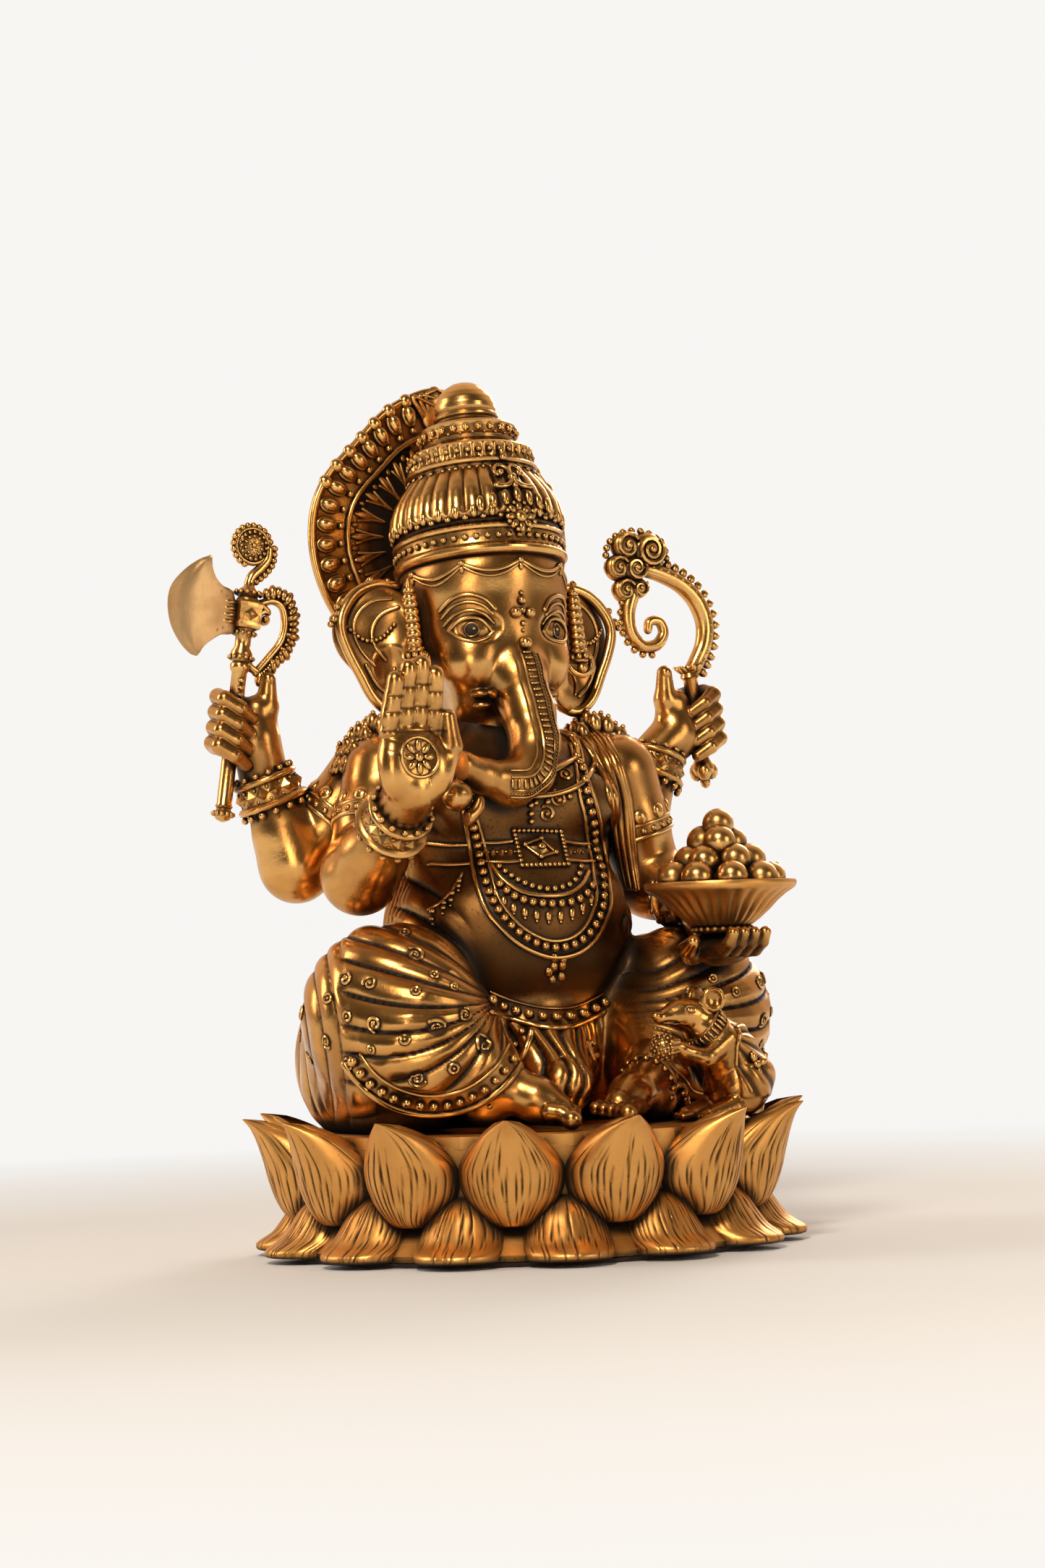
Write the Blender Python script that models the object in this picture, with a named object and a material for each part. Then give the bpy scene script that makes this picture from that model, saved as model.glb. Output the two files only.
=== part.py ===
"""Seated elephant-headed deity statuette on a lotus pedestal, as an assembly of separate castings.

The statuette faces -Y and its right hand side is -X. Sizes below are millimetres; objects are made in metres.
Castings that touch in the finished statuette keep a gap of GAP, the width of the solder line between them.
"""

import math

import bmesh
import bpy
from mathutils import Matrix, Vector

MM = 0.001
GAP = 0.4

# Pedestal
BASE_RADIUS = 97.0
PETALS = 14
PETAL_TURN = -7.3
PAD_THICK = 1.5
PAD_RADIUS = 80.0
DRUM_RADIUS = 70.0
DRUM_WALL = 4.0
SEAT_RADIUS = 78.0
SEAT_TOP = 42.0
SEAT_THICK = 4.0
UPPER_TIP_HEIGHT = 48.0
LOWER_TIP_HEIGHT = 4.5

# Head group: everything on it leans about the neck
NECK = Vector((0, 12, 188))
LEAN_BACK = 7.5
CROWN_FOOT = 46.0
CROWN_HEIGHT = 66.0
CROWN_WALL = 3.0
HALO_RADIUS = 51.0
HALO_CENTRE = Vector((0, 51.8, 248))
HALO_THICK = 3.5
HALO_DISH = 6.0

# Limbs, as (point, radius) from shoulder to wrist
SHOULDER_PLANE = 45.0
ARM_SPLIT_Y = 16.0
RIGHT_FRONT_ARM = [((-46, 8, 162), 13.5), ((-61, -3, 129), 11.5), ((-61, -34, 148), 8.2)]
RIGHT_BACK_ARM = [((-44, 24, 162), 13.5), ((-68, 31, 134), 11), ((-78.5, 33, 163), 8.0)]
LEFT_FRONT_ARM = [((46, 8, 162), 13.5), ((58, 8, 124), 11), ((61, -17, 116), 8.0)]
LEFT_BACK_ARM = [((44, 24, 162), 13.5), ((63, 31, 131), 11), ((77, 33, 170), 8.0)]
WRIST_SEAT = 1.5
BRACELET_WIDTH = 9.0
BRACELET_WALL = 2.2

# Held things
SHAFT_RADIUS = 2.6
AXE_FOOT, AXE_TOP = Vector((-93.5, 32, 157)), Vector((-81.5, 32, 229))
GOAD_FOOT, GOAD_TOP = Vector((96, 32, 167)), Vector((92, 32, 198))
BOWL_CENTRE = Vector((52, -47, 104.5))
BOWL_RADIUS = 25.6
BOWL_DEPTH = 17.5
SWEET_RADIUS = 6.0
TRUNK_SWEET = Vector((-36, -26, 153))
TRUNK_SWEET_RADIUS = 4.9

# Joints between the castings, and the fixings
HIP_PLANE = Vector((40, 0, 0))
STUD_Y = 20.0
STUD_RADIUS = 3.0
SCREW_RADIUS = 2.0

BRASS = (0.56, 0.36, 0.13)


def material(name, colour, roughness, metallic):
    """A Principled material of one colour."""
    made = bpy.data.materials.new(name)
    made.use_nodes = True
    shader = made.node_tree.nodes["Principled BSDF"]
    shader.inputs["Base Color"].default_value = (*colour, 1)
    shader.inputs["Roughness"].default_value = roughness
    shader.inputs["Metallic"].default_value = metallic
    return made


def clear_scene():
    for obj in list(bpy.data.objects):
        bpy.data.objects.remove(obj)


def add_object(name, bm, finish, place=None, smooth=True):
    """A named object from a bmesh in millimetres, with place as its location and rotation."""
    bmesh.ops.scale(bm, vec=(MM, MM, MM), verts=bm.verts)
    mesh = bpy.data.meshes.new(name)
    bm.to_mesh(mesh)
    bm.free()
    mesh.materials.append(finish)
    if smooth:
        mesh.shade_smooth()
        mesh.set_sharp_from_angle(angle=math.radians(40))
    obj = bpy.data.objects.new(name, mesh)
    if place is not None:
        obj.matrix_world = Matrix.Translation(place.translation * MM) @ place.to_3x3().to_4x4()
    bpy.context.scene.collection.objects.link(obj)
    return obj


def aim(direction, roll_towards=Vector((0, -1, 0))):
    """Rotation that turns +Z to direction and keeps -Y as near as it can to roll_towards."""
    z = Vector(direction).normalized()
    y = -(roll_towards - z * roll_towards.dot(z)).normalized()
    x = y.cross(z)
    return Matrix((x, y, z)).transposed().to_4x4()


def head_frame():
    """The leaning frame of the head group, with its origin at the neck."""
    return Matrix.Translation(NECK) @ Matrix.Rotation(math.radians(-LEAN_BACK), 4, "X")


def ball(bm, centre, radii, turn=None, detail=3):
    """An ellipsoid."""
    if isinstance(radii, (int, float)):
        radii = (radii, radii, radii)
    place = Matrix.Translation(Vector(centre)) @ (turn or Matrix.Identity(4)) @ Matrix.Diagonal((*radii, 1))
    bmesh.ops.create_icosphere(bm, subdivisions=detail, radius=1, matrix=place)


def limb(bm, points):
    """Round tapering lengths through [(point, radius), ...], with a ball at each point."""
    for point, radius in points:
        ball(bm, point, radius)
    for (a, ra), (b, rb) in zip(points, points[1:]):
        a, b = Vector(a), Vector(b)
        place = Matrix.Translation((a + b) / 2) @ (b - a).to_track_quat("Z", "Y").to_matrix().to_4x4()
        bmesh.ops.create_cone(
            bm, cap_ends=True, segments=24, radius1=ra, radius2=rb, depth=(b - a).length, matrix=place
        )


def evaluated(bm, modifiers):
    """The bmesh after the modifiers, each given as (type, {setting: value})."""
    mesh = bpy.data.meshes.new("work")
    bm.to_mesh(mesh)
    bm.free()
    obj = bpy.data.objects.new("work", mesh)
    bpy.context.scene.collection.objects.link(obj)
    for kind, settings in modifiers:
        modifier = obj.modifiers.new(kind, kind)
        for key, value in settings.items():
            setattr(modifier, key, value)
    bpy.context.view_layer.update()
    result = bmesh.new()
    result.from_object(obj, bpy.context.evaluated_depsgraph_get())
    bpy.data.objects.remove(obj)
    return result


def count_triangles(bm):
    return sum(len(face.verts) - 2 for face in bm.faces)


def fuse(bm, voxel, triangles):
    """One closed skin round overlapping shapes, thinned to about the number of triangles."""
    bm = evaluated(bm, [("REMESH", {"mode": "VOXEL", "voxel_size": voxel}), ("SMOOTH", {"iterations": 2})])
    thinning = {"ratio": triangles / count_triangles(bm), "use_collapse_triangulate": True}
    return evaluated(bm, [("DECIMATE", thinning)])


def cut(bm, point, outward):
    """Removes what lies on the outward side of a plane and closes the cut."""
    made = bmesh.ops.bisect_plane(
        bm,
        geom=bm.verts[:] + bm.edges[:] + bm.faces[:],
        dist=1e-4,
        plane_co=Vector(point),
        plane_no=Vector(outward),
        clear_outer=True,
    )
    edges = [item for item in made["geom_cut"] if isinstance(item, bmesh.types.BMEdge)]
    bmesh.ops.holes_fill(bm, edges=[edge for edge in edges if edge.is_boundary])
    bmesh.ops.triangulate(bm, faces=[face for face in bm.faces if len(face.verts) > 4])


def turned(profile, segments, ripple=None):
    """A solid turned about Z. The (radius, height) profile is a closed loop or starts and ends on the axis.

    ripple(angle, index) gives a factor on each profile point's radius and height, for scalloped shapes.
    """
    bm = bmesh.new()
    rings = []
    for index, (radius, height) in enumerate(profile):
        if radius == 0:
            rings.append([bm.verts.new((0, 0, height))])
            continue
        ring = []
        for step in range(segments):
            angle = 2 * math.pi * step / segments
            wide, tall = ripple(angle, index) if ripple else (1, 1)
            point = (radius * wide * math.cos(angle), radius * wide * math.sin(angle), height * tall)
            ring.append(bm.verts.new(point))
        rings.append(ring)
    closed_loop = len(rings[0]) > 1
    pairs = list(zip(rings, rings[1:])) + ([(rings[-1], rings[0])] if closed_loop else [])
    for low, high in pairs:
        for step in range(segments):
            nxt = (step + 1) % segments
            if len(low) == 1:
                bm.faces.new((low[0], high[step], high[nxt]))
            elif len(high) == 1:
                bm.faces.new((low[step], high[0], low[nxt]))
            else:
                bm.faces.new((low[step], high[step], high[nxt], low[nxt]))
    bmesh.ops.recalc_face_normals(bm, faces=bm.faces)
    return bm


def tube_along(points, radii, sides=8):
    """A closed tube through points, with one radius for each point."""
    bm = bmesh.new()
    points = [Vector(point) for point in points]
    rings = []
    across = Vector((0, 1, 0))
    for index, point in enumerate(points):
        along = (points[min(index + 1, len(points) - 1)] - points[max(index - 1, 0)]).normalized()
        across = (across - along * across.dot(along)).normalized()
        other = along.cross(across)
        ring = []
        for side in range(sides):
            angle = 2 * math.pi * side / sides
            offset = across * math.cos(angle) + other * math.sin(angle)
            ring.append(bm.verts.new(point + offset * radii[index]))
        rings.append(ring)
    for low, high in zip(rings, rings[1:]):
        for side in range(sides):
            nxt = (side + 1) % sides
            bm.faces.new((low[side], low[nxt], high[nxt], high[side]))
    bm.faces.new(rings[0])
    bm.faces.new(rings[-1])
    bmesh.ops.recalc_face_normals(bm, faces=bm.faces)
    return bm


def subtract(obj, bm, place=None):
    """Cuts a bmesh shape in millimetres out of an object with a Boolean modifier."""
    name = f"cutter_{obj.name}_{len(obj.modifiers)}"
    cutter = add_object(name, bm, obj.data.materials[0], place, smooth=False)
    cutter.hide_render = True
    cutter.display_type = "WIRE"
    modifier = obj.modifiers.new("hole", "BOOLEAN")
    modifier.operation = "DIFFERENCE"
    modifier.object = cutter


def rod(radius, length, segments=16):
    """A plain cylinder from z = 0 upwards."""
    return turned([(0, 0), (radius, 0), (radius, length), (0, length)], segments)


def petal_ring(crest, valley, tips):
    """A closed ring of petals, from its (radius, height) loops on a centre line and between two petals.

    tips holds the numbers of the loop points that narrow to points.
    """

    def ripple(angle, index):
        wave = abs(math.cos(angle * PETALS / 2)) ** (1.6 if index in tips else 0.6)
        (wide, high), (narrow, low) = crest[index], valley[index]
        return (narrow + (wide - narrow) * wave) / wide, (low + (high - low) * wave) / high

    return turned(crest, PETALS * 6, ripple)


# Pedestal


def build_pedestal(brass, felt):
    pad = [(0, 0), (PAD_RADIUS, 0), (PAD_RADIUS, PAD_THICK), (0, PAD_THICK)]
    add_object("base_pad", turned(pad, 40), felt)

    foot = PAD_THICK + GAP
    inner = DRUM_RADIUS - DRUM_WALL
    under_seat = SEAT_TOP - SEAT_THICK
    drum = [
        (0, SEAT_TOP),
        (SEAT_RADIUS, SEAT_TOP),
        (SEAT_RADIUS, under_seat),
        (DRUM_RADIUS, under_seat - 1),
        (DRUM_RADIUS, foot),
        (inner, foot),
        (inner, under_seat - 2),
        (0, under_seat - 2),
    ]
    drum_obj = add_object("lotus_drum", turned(drum, 40), brass)
    subtract(drum_obj, rod(STUD_RADIUS + GAP, 20), Matrix.Translation((0, STUD_Y, under_seat - 10)))

    seat = DRUM_RADIUS + GAP
    tip = BASE_RADIUS
    upper_crest = [
        (seat, 19.5),
        (81, 15),
        (85, 19.5),
        (88, 27),
        (91.5, 39),
        (tip, UPPER_TIP_HEIGHT),
        (88, 42),
        (SEAT_RADIUS + 1.5, 36.5),
        (seat, 35),
    ]
    upper_valley = [
        (seat, 19.5),
        (72.5, 20),
        (73.5, 22),
        (74.5, 26),
        (76, 32),
        (SEAT_RADIUS, 36.5),
        (77.5, 36),
        (76, 35.5),
        (seat, 35),
    ]
    first = Matrix.Rotation(math.radians(PETAL_TURN - 90), 4, "Z")
    add_object("upper_petals", petal_ring(upper_crest, upper_valley, (5, 6)), brass, first)

    lip = tip - 2.7
    lower_crest = [
        (seat, foot),
        (84, foot),
        (lip - 1.3, foot),
        (lip, LOWER_TIP_HEIGHT),
        (91, 6),
        (86, 10),
        (82, 13),
        (77, 16),
        (seat, 16.5),
    ]
    lower_valley = [
        (seat, foot),
        (78, foot),
        (81, foot),
        (81.5, 3.5),
        (80, 5),
        (77, 8),
        (75, 10),
        (73, 13),
        (seat, 16.5),
    ]
    between = Matrix.Rotation(math.pi / PETALS, 4, "Z") @ first
    add_object("lower_petals", petal_ring(lower_crest, lower_valley, (2, 3)), brass, between)


# Figure


def ankle_plane(side):
    """Point and direction of the joint between a leg and its foot."""
    if side < 0:
        return Vector((-34, -45, 58)), Vector((0.72, -0.55, -0.42)).normalized()
    return Vector((28, -36, 56)), Vector((-0.85, -0.50, -0.15)).normalized()


def leg_lumps(bm, side):
    """Thigh, knee and shin under the garment, for side -1 (right) or +1 (left)."""
    if side < 0:
        knee, shin = ((-57, -14, 83), 28), ((-52, -26, 72), 26)
        ankle = ((-36, -42, 60), 13)
    else:
        knee, shin = ((60, -10, 76), 27), ((52, -15, 68), 24)
        ankle = ((32, -32, 58), 12)
    limb(bm, [((side * 43, 22, 72), 28), knee, shin, ankle])
    limb(bm, [((side * 46, 24, 60), 24), ((side * 54, -12, 62), 22)])


def foot_lumps(ankle, toe):
    """A bare foot from ankle to toes with its sole down."""
    bm = bmesh.new()
    ankle, toe = Vector(ankle), Vector(toe)
    limb(bm, [(ankle, 8), (ankle.lerp(toe, 0.6), 6.5), (toe, 4.0)])
    across = Vector((0, 0, 1)).cross(toe - ankle).normalized()
    for step in range(-2, 3):
        root = ankle.lerp(toe, 0.75) + across * step * 2.4
        limb(bm, [(root, 2.6), (toe + across * step * 2.7, 2.1)])
    return bm


def build_torso_and_legs(brass):
    seat = SEAT_TOP + GAP
    torso = bmesh.new()
    ball(torso, (0, 10, 108), (42, 38, 37))
    ball(torso, (0, 16, 145), (42, 27, 33))
    limb(torso, [((-43, 15, 161), 15), ((43, 15, 161), 15)])
    ball(torso, (0, 20, 68), (58, 34, 30))
    limb(torso, [((0, 18, 165), 17), ((0, 18, 190), 14)])
    limb(torso, [((0, -6, 68), 22), ((-3, -30, 54), 11)])
    for side in (-1, 1):
        limb(torso, [((side * 43, 22, 72), 28), ((side * 57, -12, 79), 27)])
        limb(torso, [((side * 46, 24, 60), 24), ((side * 54, -12, 62), 22)])
    torso = fuse(torso, 2.0, 1100)
    cut(torso, (0, 0, seat), (0, 0, -1))
    cut(torso, NECK - Vector((0, 0, GAP)), head_frame().to_3x3() @ Vector((0, 0, 1)))
    for side in (-1, 1):
        cut(torso, HIP_PLANE * side, Vector((side * 0.8, -0.6, 0)))
        cut(torso, (side * (SHOULDER_PLANE - GAP), 0, 0), (side, 0, 0))
    torso = add_object("torso", torso, brass)
    subtract(torso, rod(STUD_RADIUS + GAP, 30), Matrix.Translation((0, STUD_Y, SEAT_TOP - 8)))

    for side, name in ((-1, "right"), (1, "left")):
        normal = Vector((side * 0.8, -0.6, 0))
        leg = bmesh.new()
        leg_lumps(leg, side)
        leg = fuse(leg, 1.8, 700)
        joint, along = ankle_plane(side)
        cut(leg, (0, 0, seat), (0, 0, -1))
        cut(leg, HIP_PLANE * side + normal * GAP, -normal)
        cut(leg, joint - along * GAP, along)
        add_object(f"{name}_leg", leg, brass)

        ankle, toe = ((-32, -46, 56), (-16, -62, 47.5)) if side < 0 else ((26, -38, 54), (2, -53, 48))
        foot = fuse(foot_lumps(ankle, toe), 0.9, 420)
        cut(foot, (0, 0, seat), (0, 0, -1))
        cut(foot, joint + along * GAP, -along)
        add_object(f"{name}_foot", foot, brass)


def wrist_frame(arm, roll_towards=Vector((0, -1, 0))):
    """Frame at a wrist with +Z along the forearm."""
    (elbow, _), (wrist, _) = arm[1], arm[2]
    return Matrix.Translation(Vector(wrist)) @ aim(Vector(wrist) - Vector(elbow), roll_towards)


def build_arms(brass):
    arms = {
        "right_front_arm": (RIGHT_FRONT_ARM, -1, 1),
        "right_back_arm": (RIGHT_BACK_ARM, -1, -1),
        "left_front_arm": (LEFT_FRONT_ARM, 1, 1),
        "left_back_arm": (LEFT_BACK_ARM, 1, -1),
    }
    for name, (arm, side, front) in arms.items():
        bm = bmesh.new()
        limb(bm, arm)
        bm = fuse(bm, 1.4, 400)
        cut(bm, (side * SHOULDER_PLANE, 0, 0), (-side, 0, 0))
        cut(bm, (0, ARM_SPLIT_Y - front * GAP / 2, 0), (0, front, 0))
        frame = wrist_frame(arm)
        along = frame.to_3x3() @ Vector((0, 0, 1))
        cut(bm, frame @ Vector((0, 0, WRIST_SEAT)), along)
        add_object(name, bm, brass)

        (elbow, thick), (wrist, thin) = arm[1], arm[2]
        slope = (thick - thin) / (Vector(wrist) - Vector(elbow)).length
        ring = []
        low = -BRACELET_WIDTH
        for z, wall in ((low, 0), (low, 1), (low / 2, 1.3), (0, 1), (0, 0)):
            ring.append((thin + 1.1 - z * slope + wall * BRACELET_WALL, z))
        add_object(name.replace("arm", "bracelet"), turned(ring, 24), brass, frame)


def fist(bm, foot, top, shaft_at, wrist, thumb_tip, curl):
    """A closed hand round a shaft that runs from foot to top, at shaft_at along it."""
    along = (top - foot).normalized()
    centre = foot + along * shaft_at
    towards = Vector(wrist) - centre
    towards = (towards - along * towards.dot(along)).normalized()
    limb(bm, [(wrist, 8.0), (centre + towards * 9 - along * 3, 8.5)])
    limb(bm, [(centre + towards * 9 - along * 6, 6.5), (centre + towards * 8 + along * 7, 6.0)])
    for step in range(4):
        level = centre + along * (-8.2 + 5.4 * step)
        around = []
        for turn in range(6):
            spoke = Matrix.Rotation(math.radians(curl * (20 + 38 * turn)), 3, along) @ towards
            around.append((level + spoke * (SHAFT_RADIUS + 3.4), 2.9))
        limb(bm, around)
    limb(bm, [(centre + towards * 11, 4.2), (thumb_tip, 2.8)])


def build_hands(brass):
    # Raised open hand
    frame = wrist_frame(RIGHT_FRONT_ARM)
    along = frame.to_3x3() @ Vector((0, 0, 1))
    bm = bmesh.new()
    limb(bm, [(frame.translation, 8.0), ((-61, -41, 155), 9)])
    ball(bm, (-61, -43, 165), (12, 6, 14))
    for step, length in enumerate((14, 18, 19, 15)):
        root = Vector((-69.4 + 5.6 * step, -43, 174))
        tip = Vector((-67.5 + 4.6 * step, -44.5, 174 + length))
        limb(bm, [(root, 3.0), (tip, 2.4)])
    limb(bm, [((-52, -45, 160), 4.2), ((-48.5, -46, 170), 3.4), ((-49.5, -45, 178), 2.6)])
    bm = fuse(bm, 0.8, 640)
    cut(bm, frame @ Vector((0, 0, WRIST_SEAT + GAP)), -along)
    add_object("right_front_hand", bm, brass)

    # Hand under the bowl
    frame = wrist_frame(LEFT_FRONT_ARM)
    along = frame.to_3x3() @ Vector((0, 0, 1))
    bm = bmesh.new()
    limb(bm, [(frame.translation, 8.0), ((60, -27, 108), 8), ((55, -38, 101), 7)])
    ball(bm, (53, -46, 99), (11, 12, 5.5))
    for step in range(4):
        root = Vector((45.5 + 4.8 * step, -55, 99))
        limb(bm, [(root, 2.8), (root + Vector((0, -6, 1)), 2.6), (root + Vector((0, -11, 4)), 2.2)])
    bm = fuse(bm, 0.8, 600)
    cut(bm, frame @ Vector((0, 0, WRIST_SEAT + GAP)), -along)
    hand = add_object("left_front_hand", bm, brass)
    wall = [(radius + 1.2 * GAP, height) for radius, height in bowl_outside()[2:]]
    foot, rim, above = wall[0][0] - 4, wall[-1][0], BOWL_DEPTH + 20
    clearance = [(0, -GAP), (foot, -GAP), *wall, (rim, above), (0, above)]
    subtract(hand, turned(clearance, 28), Matrix.Translation(BOWL_CENTRE))

    # Fists round the axe shaft and the goad
    fists = (
        ("right_back_hand", RIGHT_BACK_ARM, AXE_FOOT, AXE_TOP, 23, (-77, 30, 194), 1),
        ("left_back_hand", LEFT_BACK_ARM, GOAD_FOOT, GOAD_TOP, 15, (80, 30, 197), -1),
    )
    for name, arm, foot, top, shaft_at, thumb, curl in fists:
        frame = wrist_frame(arm)
        along = frame.to_3x3() @ Vector((0, 0, 1))
        bm = bmesh.new()
        fist(bm, foot, top, shaft_at, frame.translation, thumb, curl)
        bm = fuse(bm, 0.8, 640)
        cut(bm, frame @ Vector((0, 0, WRIST_SEAT + GAP)), -along)
        hand = add_object(name, bm, brass)
        place = Matrix.Translation(foot - (top - foot).normalized() * 20) @ aim(top - foot)
        subtract(hand, rod(SHAFT_RADIUS + GAP, 120, 16), place)


# Head group


def build_head(brass):
    lean = head_frame()
    bm = bmesh.new()
    ball(bm, (0, 1, 24), (27, 26, 27))
    ball(bm, (0, -6, 28), (23, 18, 20))
    ball(bm, (-12, -10, 12), (12, 12, 12))
    ball(bm, (12, -10, 12), (12, 12, 12))
    limb(bm, [((0, 4, -4), 15), ((0, 2, 16), 19)])
    bm = fuse(bm, 1.3, 800)
    cut(bm, (0, 0, 0), (0, 0, -1))
    cut(bm, (0, 0, CROWN_FOOT - GAP), (0, 0, 1))
    head = add_object("head", bm, brass, lean)

    trunk = [
        ((0, 1, 205), 9),
        ((0, -5, 194), 9.2),
        ((1, -10, 182), 8.4),
        ((0, -15, 171), 8),
        ((-4, -19, 161), 7.8),
        ((-14, -22, 157), 7.2),
        ((-24, -23.5, 160), 6),
    ]
    curl = []
    for step in range(9):
        angle = math.radians(75 + 30 * step)
        thick = 4.6 - 0.3 * step
        reach = TRUNK_SWEET_RADIUS + thick + 0.9
        offset = Vector((math.cos(angle) * reach, -step * 0.3, math.sin(angle) * reach))
        curl.append((TRUNK_SWEET + offset, thick))
    bm = bmesh.new()
    limb(bm, trunk + curl)
    trunk = add_object("trunk_work", fuse(bm, 0.9, 700), brass, smooth=False)
    trunk.hide_render = True
    trunk.display_type = "WIRE"
    modifier = head.modifiers.new("trunk", "BOOLEAN")
    modifier.operation = "UNION"
    modifier.object = trunk

    for side, name in ((-1, "right"), (1, "left")):
        ear = bmesh.new()
        turn = Matrix.Rotation(math.radians(side * 18), 4, "Z")
        ball(ear, (side * 39, 7, 25), (15.5, 4.5, 16), turn)
        ball(ear, (side * 35, 7, 10), (11, 4, 14), turn)
        ball(ear, (side * 28, 5, 22), (8, 6, 15))
        ear = fuse(ear, 1.2, 420)
        cut(ear, (side * (27.5 + GAP), 0, 0), (-side, 0, 0))
        cut(ear, (0, 0, CROWN_FOOT - GAP), (0, 0, 1))
        add_object(f"{name}_ear", ear, brass, lean)

        tassel = [(0, 9), (2.4, 12), (3.6, 15), (3.2, 18), (3.6, 30), (2.4, 35), (0, 40)]
        place = lean @ Matrix.Translation((side * 32, -5, 0))
        add_object(f"{name}_ear_tassel", turned(tassel, 12), brass, place)

    add_object("trunk_sweet", ball_mesh(TRUNK_SWEET, TRUNK_SWEET_RADIUS, 2), brass)


def ball_mesh(centre, radius, detail):
    bm = bmesh.new()
    ball(bm, centre, radius, detail=detail)
    return bm


def build_crown_and_halo(brass, steel):
    lean = head_frame()
    axis = lean @ Matrix.Translation((0, 0, CROWN_FOOT))
    outer = [
        (29.3, 0),
        (30.0, 4),
        (29.3, 9),
        (28.0, 11),
        (30.2, 15),
        (29.5, 21),
        (26, 27),
        (20.5, 34),
        (21.5, 39),
        (20, 42),
        (15, 45),
        (16.5, 49),
        (14, 52),
        (10.5, 54),
        (10.0, 58),
        (7.0, 63),
        (0, CROWN_HEIGHT),
    ]
    wall = CROWN_WALL
    inner = [(30 - 2 * wall, 0), (30 - 2 * wall, 16), (28 - 2 * wall, 24), (17, 34), (10, 42), (0, 44)]
    crown = add_object("crown", turned(outer[::-1] + inner, 24), brass, axis)
    to_back = Matrix.Rotation(math.radians(-90), 4, "X")
    start = Matrix.Translation(HALO_CENTRE - Vector((0, 12, 0)))
    subtract(crown, rod(SCREW_RADIUS + GAP, 20), start @ to_back)

    def peak(angle, index):
        """An outline that narrows above the middle and ends in a point at the top."""
        from_top = abs(angle - math.pi / 2)
        shoulder = 0.10 * math.exp(-(((from_top - 0.78) / 0.42) ** 2))
        point = 0.08 * math.exp(-((from_top / 0.18) ** 2))
        return (1 - shoulder + point if index in (1, 2, 3, 4, 5) else 1), 1

    # Turned about Z with its back up, then stood so that its back faces +Y
    back = HALO_THICK
    dish = [
        (SCREW_RADIUS + GAP, 0),
        (38, 0),
        (44, -HALO_DISH),
        (HALO_RADIUS, -HALO_DISH + 1),
        (HALO_RADIUS - 2, -HALO_DISH + back),
        (40, back),
        (SCREW_RADIUS + GAP, back),
    ]
    halo = turned(dish, 48, peak)
    bmesh.ops.rotate(halo, matrix=Matrix.Rotation(math.pi, 3, "Z"), verts=halo.verts)
    add_object("halo", halo, brass, Matrix.Translation(HALO_CENTRE) @ to_back)

    screw = [(0, -10), (SCREW_RADIUS, -10), (SCREW_RADIUS, 0), (4, 0), (4, 1.6), (0, 2.2)]
    place = Matrix.Translation(HALO_CENTRE + Vector((0, back + GAP, 0))) @ to_back
    add_object("halo_screw", turned(screw, 14), steel, place)


# Held things and companions


def build_axe(brass):
    length = (AXE_TOP - AXE_FOOT).length
    shaft = [
        (0, 0),
        (SHAFT_RADIUS, 1.5),
        (SHAFT_RADIUS, 43),
        (3.4, 45),
        (3.4, 49),
        (SHAFT_RADIUS, 51),
        (SHAFT_RADIUS, 54),
        (4.2, 56),
        (4.2, 66),
        (SHAFT_RADIUS, 68),
        (SHAFT_RADIUS, length),
        (0, length),
    ]
    place = Matrix.Translation(AXE_FOOT) @ aim(AXE_TOP - AXE_FOOT)
    add_object("axe_shaft", turned(shaft, 12), brass, place)

    # Crescent blade: an arc for the edge, and two hollow arcs back to the socket
    seat = -4.2 - GAP
    outline = []
    for step in range(9):
        angle = math.radians(118 + 15.5 * step)
        outline.append((-13 + 18 * math.cos(angle), 63 + 18 * math.sin(angle)))
    for step in range(4):
        angle = math.radians(175 - 27 * step)
        outline.append((-8.5 + 5.2 * math.cos(angle), 46.5 + 9.5 * math.sin(angle)))
    outline += [(seat, 57.5), (seat, 64.5)]
    for step in range(4):
        angle = math.radians(-100 - 24 * step)
        outline.append((-8.5 + 10 * math.cos(angle) - 2.5, 76.5 + 10.5 * math.sin(angle)))
    bm = bmesh.new()
    thick = 1.1
    rings = [[bm.verts.new((x, y, z)) for x, z in outline] for y in (-thick, thick)]
    count = len(outline)
    bm.faces.new(rings[0])
    bm.faces.new(rings[1][::-1])
    for step in range(count):
        nxt = (step + 1) % count
        bm.faces.new((rings[0][nxt], rings[0][step], rings[1][step], rings[1][nxt]))
    bmesh.ops.recalc_face_normals(bm, faces=bm.faces)
    bmesh.ops.triangulate(bm, faces=bm.faces[:])
    add_object("axe_blade", bm, brass, place)

    # The finial rises from the end of the shaft and rolls up into a scroll
    top = length + GAP
    scroll, radii = [(0, 0, top), (0, 0, top + 1.5)], [2.0, 2.2]
    for step in range(12):
        angle = math.radians(-62 + 36 * step)
        reach = 7.2 - 0.45 * step
        scroll.append((1.6 + reach * math.cos(angle), 0, top + 10 + reach * math.sin(angle)))
        radii.append(2.2 - 0.06 * step)
    add_object("axe_scroll", tube_along(scroll, radii, 7), brass, place)

    bracket, radii = [], []
    for step in range(12):
        share = step / 11
        angle = math.radians(125 - 245 * share)
        bracket.append((11.5 + 8.5 * math.cos(angle) - 4 * share, 0, 54.5 + 11.5 * math.sin(angle)))
        radii.append(2.3 - 0.5 * abs(2 * share - 1))
    add_object("axe_bracket", tube_along(bracket, radii, 7), brass, place)


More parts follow.
